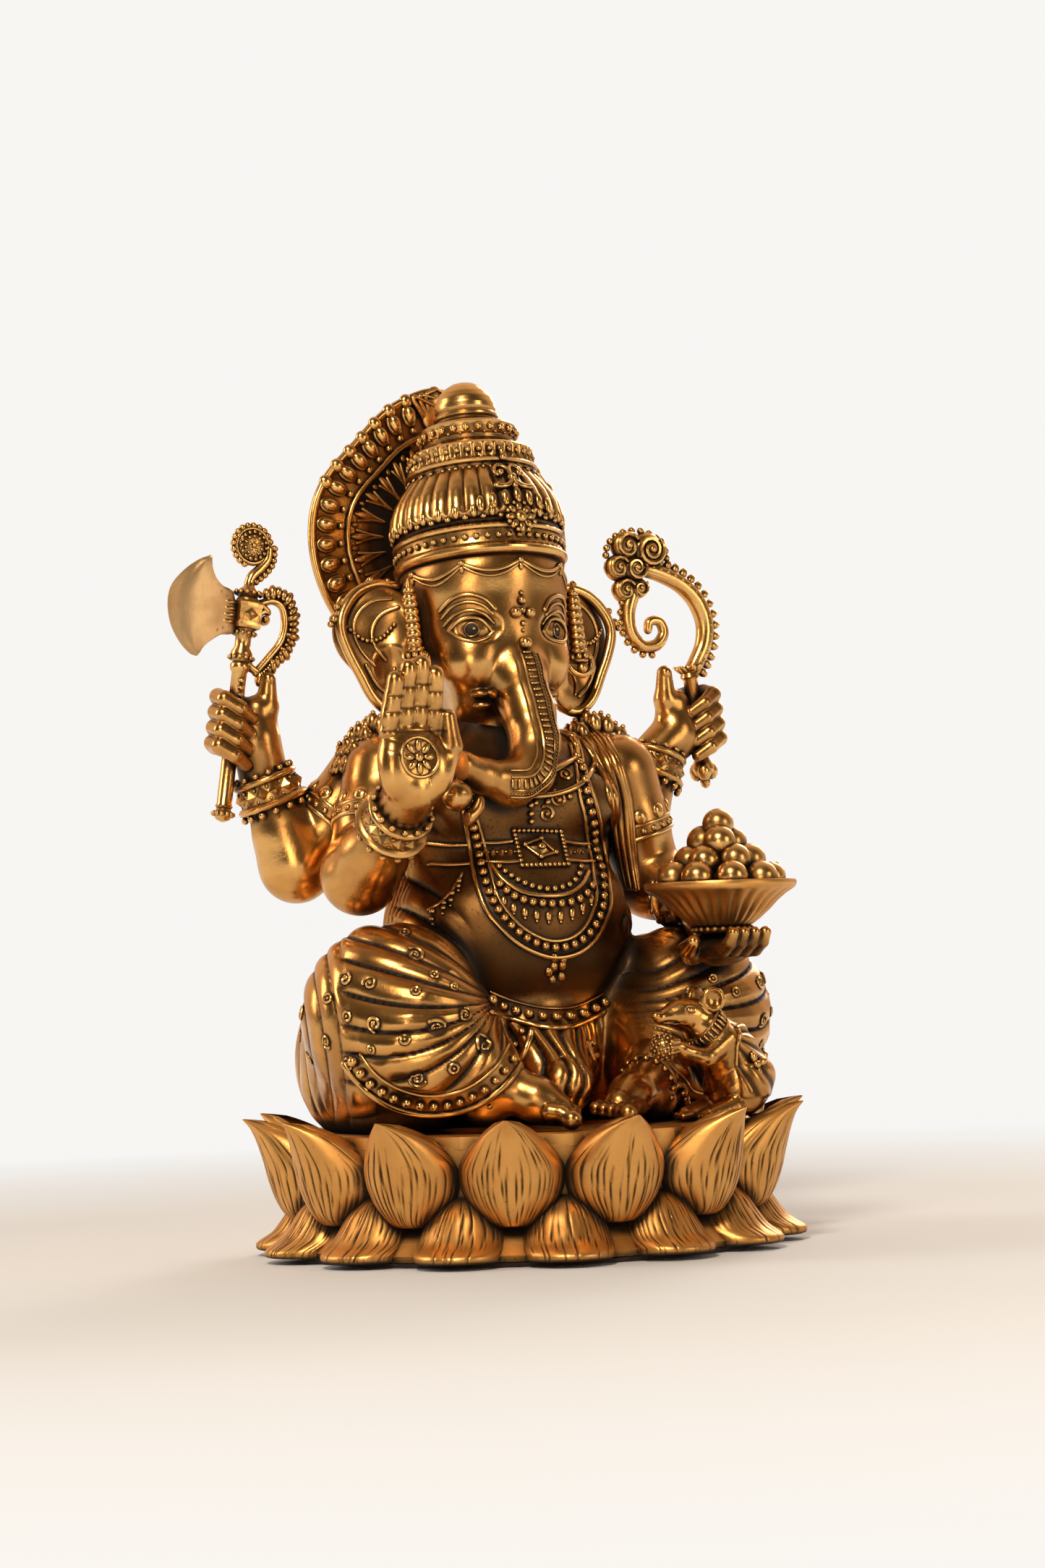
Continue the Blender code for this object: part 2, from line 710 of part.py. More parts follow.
def build_goad(brass):
    """Short goad whose head sweeps inwards as a broad leafy scroll."""
    y = GOAD_FOOT.y
    bm = bmesh.new()
    limb(bm, [(GOAD_FOOT, SHAFT_RADIUS), (GOAD_TOP, SHAFT_RADIUS)])
    for offset, radius in (((-2, 0, -1), 4), ((3, 0, 1), 3.6), ((0, -2, -3), 3.4)):
        ball(bm, GOAD_FOOT + Vector(offset), radius)
    sweep = [(GOAD_TOP, 4.2)]
    for step in range(8):
        angle = math.radians(-20 + 17 * step)
        sweep.append(((80 + 19 * math.cos(angle), y, 213 + 21 * math.sin(angle)), 4.6))
    limb(bm, sweep)
    leaves = (64, 242, 6.5), (71, 241, 6.5), (66, 232, 6), (73, 234, 5.5), (60, 234, 5.5), (65, 224, 4.5)
    for x, z, radius in leaves:
        ball(bm, (x, y, z), (radius, 3.4, radius))
    hook = []
    for step in range(7):
        angle = math.radians(140 + 32 * step)
        hook.append(((74 + 6.5 * math.cos(angle), y, 216 + 7 * math.sin(angle)), 2.8))
    limb(bm, [((66, y, 226), 3.4), *hook])
    add_object("goad", fuse(bm, 0.9, 800), brass)


def bowl_outside():
    """The (radius, height) outline of the bowl from the middle of its foot to its rim."""
    rim = BOWL_RADIUS
    return [(0, 0), (8, 0), (12, 2.5), (rim - 6.5, 10.5), (rim - 0.8, BOWL_DEPTH - 3), (rim, BOWL_DEPTH)]


def build_bowl(brass):
    rim = BOWL_RADIUS
    inside = [(rim - 2.5, BOWL_DEPTH), (rim - 9.5, 10.5), (12, 5.5), (0, 4)]
    add_object("bowl", turned(bowl_outside() + inside, 28), brass, Matrix.Translation(BOWL_CENTRE))

    bm = bmesh.new()
    layers = ((0, 7, 13.0, 19.6), (0, 1, 0, 17.0), (30, 5, 8.4, 26.2), (0, 3, 4.8, 32.0), (0, 1, 0, 36.5))
    for turn, count, reach, height in layers:
        for step in range(count):
            angle = math.radians(turn) + 2 * math.pi * step / count
            centre = BOWL_CENTRE + Vector((reach * math.cos(angle), reach * math.sin(angle), height))
            ball(bm, centre, SWEET_RADIUS if reach > 5 else 5)
    ball(bm, BOWL_CENTRE + Vector((0, 0, 13)), (11, 11, 6))
    add_object("sweets_pile", fuse(bm, 1.0, 800), brass)


def build_mouse(brass):
    bm = bmesh.new()
    limb(bm, [((51, -55, 56), 10.5), ((44, -57, 66), 9), ((36, -58, 73), 6)])
    ball(bm, (30.5, -58, 78), (8, 5.6, 5.4), Matrix.Rotation(math.radians(8), 4, "Y"))
    limb(bm, [((26, -58, 78), 4.2), ((19.5, -58, 77.5), 2.2)])
    for y in (-53.5, -63):
        ball(bm, (37, y, 82.5), (3.2, 1.8, 3.6))
        limb(bm, [((41, y, 69), 4), ((32, y + 1, 65), 2.6), ((26, -60 + (y + 58) * 0.6, 66), 2.2)])
        limb(bm, [((48, y, 52), 6), ((40, y, 46.5), 4), ((34, y, 45), 3)])
    bm = fuse(bm, 0.9, 850)
    cut(bm, (0, 0, SEAT_TOP + GAP), (0, 0, -1))
    cut(bm, (0, -48.5, 0), (-0.2, 1, 0))
    add_object("mouse", bm, brass)
    add_object("mouse_sweet", ball_mesh((19.5, -60.5, 67.5), 4.8, 2), brass)


def build_fixings(steel):
    """The stud that holds the figure to the pedestal, with its washer and nut inside the drum."""
    under = SEAT_TOP - SEAT_THICK - 2
    at = Matrix.Translation((0, STUD_Y, 0))
    low, high = under - 10, SEAT_TOP + 20
    add_object("figure_stud", rod(STUD_RADIUS, high - low, 20), steel, at @ Matrix.Translation((0, 0, low)))
    washer_top = under - GAP
    hole = STUD_RADIUS + GAP
    washer = [(hole, washer_top - 1.6), (9, washer_top - 1.6), (9, washer_top), (hole, washer_top)]
    add_object("stud_washer", turned(washer, 24), steel, at)
    nut_top = washer_top - 1.6 - GAP
    nut = [(hole + 0.5, nut_top - 5), (6.4, nut_top - 5), (6.4, nut_top), (hole + 0.5, nut_top)]
    add_object("stud_nut", turned(nut, 6), steel, at, smooth=False)


def main():
    clear_scene()
    brass = material("antique_brass", BRASS, 0.3, 1.0)
    felt = material("felt", (0.05, 0.03, 0.03), 0.95, 0.0)
    steel = material("zinc_steel", (0.6, 0.6, 0.62), 0.35, 1.0)
    build_pedestal(brass, felt)
    build_torso_and_legs(brass)
    build_arms(brass)
    build_hands(brass)
    build_head(brass)
    build_crown_and_halo(brass, steel)
    build_axe(brass)
    build_goad(brass)
    build_bowl(brass)
    build_mouse(brass)
    build_fixings(steel)


main()
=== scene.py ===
"""Looks of the seated elephant-headed deity statuette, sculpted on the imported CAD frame.

Shapes are worked in millimetres, in the CAD's own places, and become metres when a piece is made.
Skins are blended from soft lumps on a grid, creased by moving their vertices, and dressed with beads and ridges.
"""

import math

import bmesh
import bpy
import numpy as np
import openvdb
from mathutils import Matrix, Vector
from mathutils.bvhtree import BVHTree


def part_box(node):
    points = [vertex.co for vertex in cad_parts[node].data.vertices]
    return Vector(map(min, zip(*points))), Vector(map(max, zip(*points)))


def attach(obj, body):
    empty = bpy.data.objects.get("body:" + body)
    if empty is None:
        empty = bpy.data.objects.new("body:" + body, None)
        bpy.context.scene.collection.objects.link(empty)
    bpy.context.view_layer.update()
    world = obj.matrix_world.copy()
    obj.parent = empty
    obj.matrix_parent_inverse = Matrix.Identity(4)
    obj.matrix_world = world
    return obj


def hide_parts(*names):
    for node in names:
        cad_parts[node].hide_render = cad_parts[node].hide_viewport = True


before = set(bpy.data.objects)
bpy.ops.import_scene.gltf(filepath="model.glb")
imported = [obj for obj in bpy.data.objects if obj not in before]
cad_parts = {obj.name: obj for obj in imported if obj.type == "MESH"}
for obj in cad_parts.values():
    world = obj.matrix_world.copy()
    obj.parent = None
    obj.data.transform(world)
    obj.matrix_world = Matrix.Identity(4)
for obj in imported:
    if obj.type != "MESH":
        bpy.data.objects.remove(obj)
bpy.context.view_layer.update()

MM = 0.001
OUTSIDE = 8.0  # Distance kept in the empty part of a grid
SEED = np.random.RandomState(7)


def cad_low(node):
    return np.array(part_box(node)[0]) / MM


def cad_high(node):
    return np.array(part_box(node)[1]) / MM


# Skins


class Clay:
    """A solid blended from lumps on a grid of distances."""

    def __init__(self, low, high, voxel):
        self.low = np.array(low, float)
        self.voxel = voxel
        self.axes = [np.arange(a, b + voxel, voxel, dtype=np.float32) for a, b in zip(low, high)]
        self.field = np.full([len(axis) for axis in self.axes], OUTSIDE, np.float32)

    def window(self, low, high):
        """The grid slices between two corners and their x, y and z."""
        where = tuple(slice(*np.searchsorted(a, (lo, hi))) for a, lo, hi in zip(self.axes, low, high))
        x, y, z = (axis[part] for axis, part in zip(self.axes, where))
        return where, x[:, None, None], y[None, :, None], z[None, None, :]

    def merge(self, low, high, distance, blend, carve):
        reach = blend + 2 * self.voxel
        where, x, y, z = self.window(np.array(low) - reach, np.array(high) + reach)
        old = self.field[where]
        if not old.size:
            return
        new = distance(x, y, z).astype(np.float32)
        if carve:
            soft = np.maximum(blend - np.abs(old + new), 0)
            self.field[where] = np.maximum(old, -new) + soft * soft / (4 * blend)
        else:
            soft = np.maximum(blend - np.abs(old - new), 0)
            self.field[where] = np.minimum(old, new) - soft * soft / (4 * blend)

    def ball(self, centre, radii, turn=None, blend=3.0, carve=False):
        """An ellipsoid, added or carved away."""
        radii = np.array([radii] * 3 if np.isscalar(radii) else radii, float)
        spin = np.array((turn or Matrix.Identity(4)).to_3x3()).T
        size = radii.max() if turn else radii

        def distance(x, y, z):
            d = (x - centre[0], y - centre[1], z - centre[2])
            local = [spin[i][0] * d[0] + spin[i][1] * d[1] + spin[i][2] * d[2] for i in range(3)]
            near = np.sqrt(sum((c / r) ** 2 for c, r in zip(local, radii)))
            steep = np.sqrt(sum((c / r**2) ** 2 for c, r in zip(local, radii)))
            return near * (near - 1) / np.maximum(steep, 1e-6)

        self.merge(np.array(centre) - size, np.array(centre) + size, distance, blend, carve)

    def limb(self, points, blend=3.0, carve=False):
        """Round tapering lengths through [(point, radius), ...]."""
        for (a, ra), (b, rb) in zip(points, points[1:]):
            a, b = np.array(a, float), np.array(b, float)
            along = b - a
            length = along @ along
            thick = max(ra, rb)

            def distance(x, y, z, a=a, along=along, length=length, ra=ra, rb=rb):
                d = (x - a[0], y - a[1], z - a[2])
                t = np.clip((d[0] * along[0] + d[1] * along[1] + d[2] * along[2]) / length, 0, 1)
                gap = [d[i] - t * along[i] for i in range(3)]
                return np.sqrt(gap[0] ** 2 + gap[1] ** 2 + gap[2] ** 2) - (ra + (rb - ra) * t)

            self.merge(np.minimum(a, b) - thick, np.maximum(a, b) + thick, distance, blend, carve)

    def cut(self, point, outward):
        """Takes away the outward side of a plane."""
        x, y, z = self.axes
        n = np.array(outward, float)
        n /= np.linalg.norm(n)
        plane = (
            (n[0] * (x - point[0]))[:, None, None]
            + (n[1] * (y - point[1]))[None, :, None]
            + (n[2] * (z - point[2]))[None, None, :]
        )
        np.maximum(self.field, plane.astype(np.float32), out=self.field)

    def skin(self):
        grid = openvdb.FloatGrid(OUTSIDE)
        grid.copyFromArray(self.field)
        grid.transform = openvdb.createLinearTransform(voxelSize=self.voxel)
        points, quads = grid.convertToQuads(isovalue=0)
        return Skin(points.astype(float) + self.low, quads.astype(np.int64))


class Skin:
    """A closed surface of quads that can be creased and dressed."""

    def __init__(self, points, quads):
        self.points = points
        self.quads = quads
        # Per-vertex darkening of the colour: wax in creases and round motifs, and painted shade where shadows fall
        self.grime_and_shade = np.zeros(len(points))
        self.tree = None

    def normals(self):
        corners = [self.points[self.quads[:, i]] for i in range(4)]
        faces = np.cross(corners[2] - corners[0], corners[3] - corners[1])
        total = np.zeros_like(self.points)
        for corner in range(4):
            for axis in range(3):
                total[:, axis] += np.bincount(self.quads[:, corner], faces[:, axis], len(self.points))
        return total / np.maximum(np.linalg.norm(total, axis=1), 1e-9)[:, None]

    def raise_by(self, height, darkening=None):
        """Moves each vertex out along its normal, and adds the given darkening to its colour."""
        self.points = self.points + self.normals() * np.asarray(height)[:, None]
        if darkening is not None:
            self.grime_and_shade = np.clip(self.grime_and_shade + darkening, 0, 1)
        self.tree = None

    def surface(self):
        if self.tree is None:
            self.tree = BVHTree.FromPolygons(self.points.tolist(), self.quads.tolist())
        return self.tree

    def near(self, point):
        """The nearest place on the surface, and its normal."""
        place, normal, _, _ = self.surface().find_nearest(Vector(point))
        return np.array(place), np.array(normal)

    def hit(self, start, direction):
        """Where a ray meets the surface, and the normal there; None if it misses."""
        place, normal, _, _ = self.surface().ray_cast(Vector(start), Vector(direction).normalized())
        return None if place is None else (np.array(place), np.array(normal))

    def lay(self, path, sink=0.0):
        """The path dropped on to the nearest surface, and its normals."""
        found = [self.near(point) for point in path]
        places = np.array([place - normal * sink for place, normal in found])
        return places, np.array([normal for _, normal in found])


# Dressing


def unit(vector):
    vector = np.asarray(vector, float)
    return vector / max(np.linalg.norm(vector), 1e-9)


def spline(points, spacing):
    """Evenly spaced points on a smooth curve through the given ones."""
    points = np.array(points, float)
    padded = np.vstack([2 * points[0] - points[1], points, 2 * points[-1] - points[-2]])
    dense = []
    for p0, p1, p2, p3 in zip(padded, padded[1:], padded[2:], padded[3:]):
        t = np.linspace(0, 1, 24, endpoint=False)[:, None]
        bend = (2 * p0 - 5 * p1 + 4 * p2 - p3) * t**2 + (3 * p1 - p0 - 3 * p2 + p3) * t**3
        dense.append(0.5 * (2 * p1 + (p2 - p0) * t + bend))
    dense = np.vstack(dense + [points[-1:]])
    steps = np.concatenate([[0], np.cumsum(np.linalg.norm(np.diff(dense, axis=0), axis=1))])
    count = max(2, int(round(steps[-1] / spacing)) + 1)
    even = np.linspace(0, steps[-1], count)
    return np.stack([np.interp(even, steps, dense[:, i]) for i in range(3)], 1)


def sphere_template(detail):
    bm = bmesh.new()
    bmesh.ops.create_icosphere(bm, subdivisions=detail, radius=1)
    points = np.array([v.co for v in bm.verts])
    faces = np.array([[v.index for v in f.verts] for f in bm.faces])
    bm.free()
    return points, faces


BALLS = {detail: sphere_template(detail) for detail in (1, 2, 3, 4)}


class Trim:
    """Beads, ridges and turned bits gathered into one piece."""

    def __init__(self):
        self.points = []
        self.faces = []
        self.darkening = []
        self.count = 0

    def add(self, points, faces, darkening=None):
        self.points.append(np.asarray(points, float))
        self.faces += [np.asarray(group) + self.count for group in faces]
        self.darkening.append(np.zeros(len(points)) if darkening is None else darkening)
        self.count += len(points)

    def bead(self, centre, radii, turn=None, detail=2):
        """A ball or an egg; turn is a 3 x 3 array whose columns are its axes."""
        points, faces = BALLS[detail]
        shaped = points * radii
        if turn is not None:
            shaped = shaped @ np.asarray(turn).T
        self.add(shaped + centre, [faces])

    def tube(self, path, radii, normals=None, flat=1.0, sides=8, closed=False):
        """A round or flattened ridge along a path; flat scales it along the normals."""
        path = np.asarray(path, float)
        count = len(path)
        radii = np.broadcast_to(np.asarray(radii, float), (count,)).copy()
        ahead = np.roll(path, -1, 0) - np.roll(path, 1, 0)
        if not closed:
            ahead[0], ahead[-1] = path[1] - path[0], path[-1] - path[-2]
        ahead /= np.maximum(np.linalg.norm(ahead, axis=1), 1e-9)[:, None]
        if normals is None:
            up = unit(np.cross(ahead[0], (0.31, 0.87, 0.38)))
            normals = []
            for direction in ahead:
                up = unit(up - direction * (up @ direction))
                normals.append(up)
        normals = np.asarray(normals, float)
        normals = normals - ahead * np.sum(normals * ahead, 1)[:, None]
        normals /= np.maximum(np.linalg.norm(normals, axis=1), 1e-9)[:, None]
        if not closed:
            ends = ((0, -1), (-1, 1))
            caps = []
            for end, way in ends:
                tips = [(path[end] + way * ahead[end] * radii[end] * s, radii[end] * c) for s, c in ((0.6, 0.8), (0.95, 0.3))]
                caps.append(tips)
            path = np.vstack([caps[0][1][0], caps[0][0][0], path, caps[1][0][0], caps[1][1][0]])
            radii = np.concatenate([[caps[0][1][1], caps[0][0][1]], radii, [caps[1][0][1], caps[1][1][1]]])
            ahead = np.vstack([ahead[:1], ahead[:1], ahead, ahead[-1:], ahead[-1:]])
            normals = np.vstack([normals[:1], normals[:1], normals, normals[-1:], normals[-1:]])
            count += 4
        beside = np.cross(ahead, normals)
        turns = np.arange(sides) * 2 * math.pi / sides
        rings = path[:, None] + radii[:, None, None] * (
            flat * np.cos(turns)[None, :, None] * normals[:, None] + np.sin(turns)[None, :, None] * beside[:, None]
        )
        faces = lattice(count, sides, closed)
        groups = [faces]
        if not closed:
            groups += [np.arange(sides)[None, ::-1], ((count - 1) * sides + np.arange(sides))[None]]
        self.add(rings.reshape(-1, 3), groups)

    def beads(self, path, radius, detail=2):
        """A row of round beads."""
        for place, size in zip(path, np.broadcast_to(np.asarray(radius, float), (len(path),))):
            self.bead(place, size, detail=detail)

    def diamond(self, centre, radii, turn):
        """A faceted stone: four sides meeting in a point outwards along the turn's third axis."""
        corners = np.array([(1, 0, 0), (0, 1, 0), (-1, 0, 0), (0, -1, 0), (0, 0, 1), (0, 0, -1)]) * radii
        faces = np.array([(0, 1, 4), (1, 2, 4), (2, 3, 4), (3, 0, 4), (1, 0, 5), (2, 1, 5), (3, 2, 5), (0, 3, 5)])
        self.add(corners @ np.asarray(turn).T + centre, [faces])

    def turned(self, profile, segments, place=None, ripple=None):
        """A solid turned about the place's z axis; ripple(angle, share) scales the radius."""
        profile = np.array(profile, float)
        turns = np.arange(segments) * 2 * math.pi / segments
        share = np.linspace(0, 1, len(profile))
        wide = np.ones((len(profile), segments)) if ripple is None else ripple(turns[None, :], share[:, None])
        radius = profile[:, :1] * wide
        points = np.stack(
            [radius * np.cos(turns), radius * np.sin(turns), np.repeat(profile[:, 1:], segments, 1)], -1
        ).reshape(-1, 3)
        if place is not None:
            matrix = np.array(place)
            points = points @ matrix[:3, :3].T + matrix[:3, 3]
        caps = [np.arange(segments)[None, ::-1], ((len(profile) - 1) * segments + np.arange(segments))[None]]
        self.add(points, [lattice(len(profile), segments, False)] + caps)

    def piece(self, name, finish, *nodes, slot="antique_brass"):
        return make_piece(name, np.vstack(self.points), self.faces, np.concatenate(self.darkening), finish, nodes)


def lattice(rows, columns, closed):
    """Quads between rows of points, each row a closed ring; closed joins the last row to the first."""
    last = rows if closed else rows - 1
    row = np.arange(last)[:, None]
    column = np.arange(columns)[None, :]
    nxt = (column + 1) % columns
    above = (row + 1) % rows
    corners = (row * columns + column, row * columns + nxt, above * columns + nxt, above * columns + column)
    return np.stack([np.broadcast_to(c, (last, columns)) for c in corners], -1).reshape(-1, 4)


def make_piece(name, points, groups, grime_and_shade, finish, nodes):
    """A Blender object from points in millimetres and groups of equal-sided faces."""
    loops = np.concatenate([group.reshape(-1) for group in groups]).astype(np.int32)
    sizes = np.concatenate([np.full(len(group), group.shape[1], np.int32) for group in groups])
    starts = np.concatenate([[0], np.cumsum(sizes)[:-1]]).astype(np.int32)
    mesh = bpy.data.meshes.new(name)
    mesh.vertices.add(len(points))
    mesh.vertices.foreach_set("co", (points * MM).astype(np.float32).ravel())
    mesh.loops.add(len(loops))
    mesh.loops.foreach_set("vertex_index", loops)
    mesh.polygons.add(len(sizes))
    mesh.polygons.foreach_set("loop_start", starts)
    mesh.update(calc_edges=True)
    mesh.attributes.new("grime_and_shade", "FLOAT", "POINT").data.foreach_set("value", grime_and_shade.astype(np.float32))
    mesh.shade_smooth()
    mesh.set_sharp_from_angle(angle=math.radians(50))
    mesh.materials.append(finish)
    obj = bpy.data.objects.new(name, mesh)
    bpy.context.scene.collection.objects.link(obj)
    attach(obj, "root")
    if nodes:
        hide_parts(*nodes)
    return obj


def finish_skin(name, skin, finish, *nodes):
    return make_piece(name, skin.points, [skin.quads], skin.grime_and_shade, finish, nodes)


# Finishes


class Nodes:
    """Short calls for building a node material."""

    def __init__(self, name):
        self.material = bpy.data.materials.new(name)
        self.material.use_nodes = True
        self.tree = self.material.node_tree
        self.shader = self.tree.nodes["Principled BSDF"]
        self.place = self.add("ShaderNodeTexCoord").outputs["Object"]

    def add(self, kind, **values):
        node = self.tree.nodes.new(kind)
        for key, value in values.items():
            setattr(node, key, value)
        return node

    def join(self, value, socket):
        if isinstance(value, bpy.types.NodeSocket):
            self.tree.links.new(value, socket)
        else:
            socket.default_value = value

    def noise(self, scale, detail=4.0, rough=0.55):
        node = self.add("ShaderNodeTexNoise")
        self.join(self.place, node.inputs["Vector"])
        node.inputs["Scale"].default_value = scale
        node.inputs["Detail"].default_value = detail
        node.inputs["Roughness"].default_value = rough
        return node.outputs["Fac"]

    def spread(self, value, low, high, to_low=0.0, to_high=1.0):
        node = self.add("ShaderNodeMapRange", clamp=True)
        self.join(value, node.inputs["Value"])
        for socket, number in zip(("From Min", "From Max", "To Min", "To Max"), (low, high, to_low, to_high)):
            node.inputs[socket].default_value = number
        return node.outputs["Result"]

    def math(self, operation, a, b, clamp=False):
        node = self.add("ShaderNodeMath", operation=operation, use_clamp=clamp)
        self.join(a, node.inputs[0])
        self.join(b, node.inputs[1])
        return node.outputs[0]

    def mix(self, share, a, b):
        node = self.add("ShaderNodeMix", data_type="RGBA")
        self.join(share, node.inputs[0])
        self.join((*a, 1) if isinstance(a, tuple) else a, node.inputs[6])
        self.join((*b, 1) if isinstance(b, tuple) else b, node.inputs[7])
        return node.outputs[2]


def antique_brass(name, gold, bronze, polish, wear=0.5, depth=0.0025):
    """Rubbed brass: gold where hands polish it, bronze in between, near-black wax left in every crease."""
    n = Nodes(name)
    occlusion = n.add("ShaderNodeAmbientOcclusion", samples=4)
    occlusion.inputs["Distance"].default_value = depth
    open_share = n.spread(occlusion.outputs["AO"], 0.38, 0.96)
    # A per-vertex attribute darkens the colour: wax left in creases and round motifs, and painted shade where the
    # figure's own shadows fall
    grime_and_shade = n.add("ShaderNodeAttribute", attribute_name="grime_and_shade").outputs["Fac"]
    patches = n.spread(n.noise(55, 3), 0.35, 0.68)
    specks = n.spread(n.noise(900, 3, 0.7), 0.58, 0.75)
    creases = n.math("SUBTRACT", 1.0, open_share)
    dark = n.math("ADD", creases, grime_and_shade)
    dark = n.math("ADD", dark, n.math("MULTIPLY", specks, 0.25), clamp=True)
    tone = n.mix(n.math("MULTIPLY", patches, wear), gold, bronze)
    tone = n.mix(n.spread(dark, 0.08, 0.5), tone, tuple(c * 0.38 for c in bronze))
    wax = (0.012, 0.006, 0.003)
    colour = n.mix(n.spread(dark, 0.40, 0.85), tone, wax)
    n.join(colour, n.shader.inputs["Base Color"])
    n.join(n.spread(dark, 0.5, 1.0, 1.0, 0.35), n.shader.inputs["Metallic"])
    rough = n.math("ADD", n.spread(patches, 0, 1, polish, polish + 0.10), n.spread(dark, 0.1, 0.9, 0, 0.30))
    n.join(rough, n.shader.inputs["Roughness"])
    grain = n.math("ADD", n.noise(420, 4, 0.65), n.math("MULTIPLY", n.noise(1700, 2), 0.25))
    bump = n.add("ShaderNodeBump")
    bump.inputs["Strength"].default_value = 0.22
    bump.inputs["Distance"].default_value = 0.0003
    n.join(grain, bump.inputs["Height"])
    n.join(bump.outputs["Normal"], n.shader.inputs["Normal"])
    return n.material


def plain_metal(name, colour, roughness):
    """Zinc-plated steel with a fine turned grain."""
    n = Nodes(name)
    grain = n.noise(1200, 3)
    n.join(n.mix(grain, colour, tuple(c * 0.8 for c in colour)), n.shader.inputs["Base Color"])
    n.shader.inputs["Metallic"].default_value = 1
    n.join(n.spread(grain, 0.3, 0.7, roughness, roughness + 0.12), n.shader.inputs["Roughness"])
    return n.material


def felt_cloth(name):
    """Pressed brown felt with matted fibres."""
    n = Nodes(name)
    fibres = n.noise(2600, 5, 0.75)
    n.join(n.mix(fibres, (0.035, 0.02, 0.015), (0.09, 0.055, 0.04)), n.shader.inputs["Base Color"])
    n.shader.inputs["Roughness"].default_value = 0.95
    n.shader.inputs["Sheen Weight"].default_value = 0.4
    bump = n.add("ShaderNodeBump")
    bump.inputs["Distance"].default_value = 0.0003
    n.join(fibres, bump.inputs["Height"])
    n.join(bump.outputs["Normal"], n.shader.inputs["Normal"])
    return n.material


GOLD = (0.78, 0.41, 0.122)
BRONZE = (0.36, 0.165, 0.050)
brass = antique_brass("antique_brass_polished", GOLD, BRONZE, 0.21, wear=0.75, depth=0.006)
brass_relief = antique_brass("antique_brass_relief", (0.92, 0.53, 0.175), BRONZE, 0.2, wear=0.4, depth=0.0032)
brass_matte = antique_brass("antique_brass_matte", (0.80, 0.42, 0.125), (0.60, 0.285, 0.075), 0.36, wear=0.6, depth=0.005)
brass_pale = antique_brass("antique_brass_pale", (0.66, 0.43, 0.21), (0.40, 0.20, 0.08), 0.38, wear=0.9)
steel = plain_metal("zinc_steel", (0.62, 0.62, 0.64), 0.3)
felt = felt_cloth("felt")


# Lotus

PETALS = 14
PETAL_TURN = math.radians(-97.3)
UPPER_CREST = [(73, 13.6), (79.5, 12.8), (83.5, 15), (86.5, 20), (88.6, 26), (90.3, 33), (92.6, 40.5), (94.6, 44.8), (97, 47.6)]
UPPER_HALF_WIDTH = [1.0, 6.8, 10.2, 14.6, 17.1, 17.4, 13.9, 8.8, 0.6]
LOWER_CREST = [(73, 23), (77, 21.5), (81.5, 17.5), (85, 12.5), (88.5, 8.2), (92.5, 5.6), (94.3, 4.2), (93.6, 2.2), (88, 2.0)]
LOWER_HALF_WIDTH = [1.5, 6.0, 10.6, 13.2, 14.3, 14.9, 14.6, 13.4, 9.0]


def petal(trim, crest, half_width, turn, cup, score, lip, thick=1.7):
    """One cupped petal, scored lengthways outside, with its own closed back."""
    rows, columns = 38, 88
    v = np.linspace(0, 1, rows)
    line = spline([(r, 0, z) for r, z in crest], 0.5)
    pace = np.linspace(0, 1, len(line))
    radius, height = np.interp(v, pace, line[:, 0]), np.interp(v, pace, line[:, 2])
    wide = spline([(s, w, 0) for s, w in zip(np.linspace(0, 1, len(half_width)), half_width)], 0.02)
    half = np.maximum(np.interp(v, wide[:, 0], wide[:, 1]), 0.3)
    theta = np.linspace(-1.65, 1.65, columns)
    across = half[:, None] * np.sin(theta)[None, :]
    hollow = np.minimum(cup * half, radius - 71)[:, None] * (1 - np.cos(theta))[None, :]
    groove = np.zeros((rows, columns))
    share = np.linspace(-1, 1, columns)
    for mark in np.linspace(-0.94, 0.94, 25):
        mark = mark + SEED.uniform(-0.03, 0.03)
        start, stop = SEED.uniform(0.0, 0.22), SEED.uniform(0.62, 1.0)
        fade = np.clip((v - start) / 0.1, 0, 1) * np.clip((stop - v) / 0.12, 0, 1) * np.clip((lip - v) / 0.04, 0, 1)
        width = SEED.uniform(0.008, 0.014)
        sway = mark + 0.02 * np.sin(v * 7 + SEED.uniform(0, 6))
        line = np.exp(-(((share[None, :] - sway[:, None]) / width) ** 2))
        groove = np.maximum(groove, line * fade[:, None] * SEED.uniform(0.5, 1.0))
    out = radius[:, None] - hollow - score * groove
    outer = np.stack([out, across, np.repeat(height[:, None], columns, 1)], -1)
    slope_r, slope_z = np.gradient(radius), np.gradient(height)
    steep = np.hypot(slope_r, slope_z)
    body = thick * np.minimum(1, half / 4) * (1 if height[-1] > height[0] else -1)
    inner = outer.copy()
    inner[:, :, 0] = out + score * groove - (body * slope_z / steep)[:, None] - 0.35 * np.abs(body)[:, None]
    inner[:, :, 2] += (body * slope_r / steep)[:, None] * 0.9
    inner[:, :, 1] *= 0.93
    points = np.vstack([outer.reshape(-1, 3), inner.reshape(-1, 3)])
    size = rows * columns
    r, c = np.arange(rows - 1)[:, None], np.arange(columns - 1)[None, :]
    corner = r * columns + c
    front = np.stack([corner, corner + 1, corner + columns + 1, corner + columns], -1).reshape(-1, 4)
    back = front[:, ::-1] + size
    edges = []
    for line in (np.arange(columns), (rows - 1) * columns + np.arange(columns)[::-1]):
        edges.append(np.stack([line[1:], line[:-1], line[:-1] + size, line[1:] + size], -1))
    for line in (np.arange(rows)[::-1] * columns, np.arange(rows) * columns + columns - 1):
        edges.append(np.stack([line[1:], line[:-1], line[:-1] + size, line[1:] + size], -1))
    faces = [front, back, np.vstack(edges)]
    if height[-1] < height[0]:
        faces = [group[:, ::-1] for group in faces]
    cos, sin = math.cos(turn), math.sin(turn)
    spin = np.array([[cos, sin, 0], [-sin, cos, 0], [0, 0, 1]])
    # Darker along the scored lines, and a little darker over the whole inner face
    darkening = np.concatenate([(groove * 0.95).ravel(), np.full(size, 0.25)])
    trim.add(points @ spin, faces, darkening)


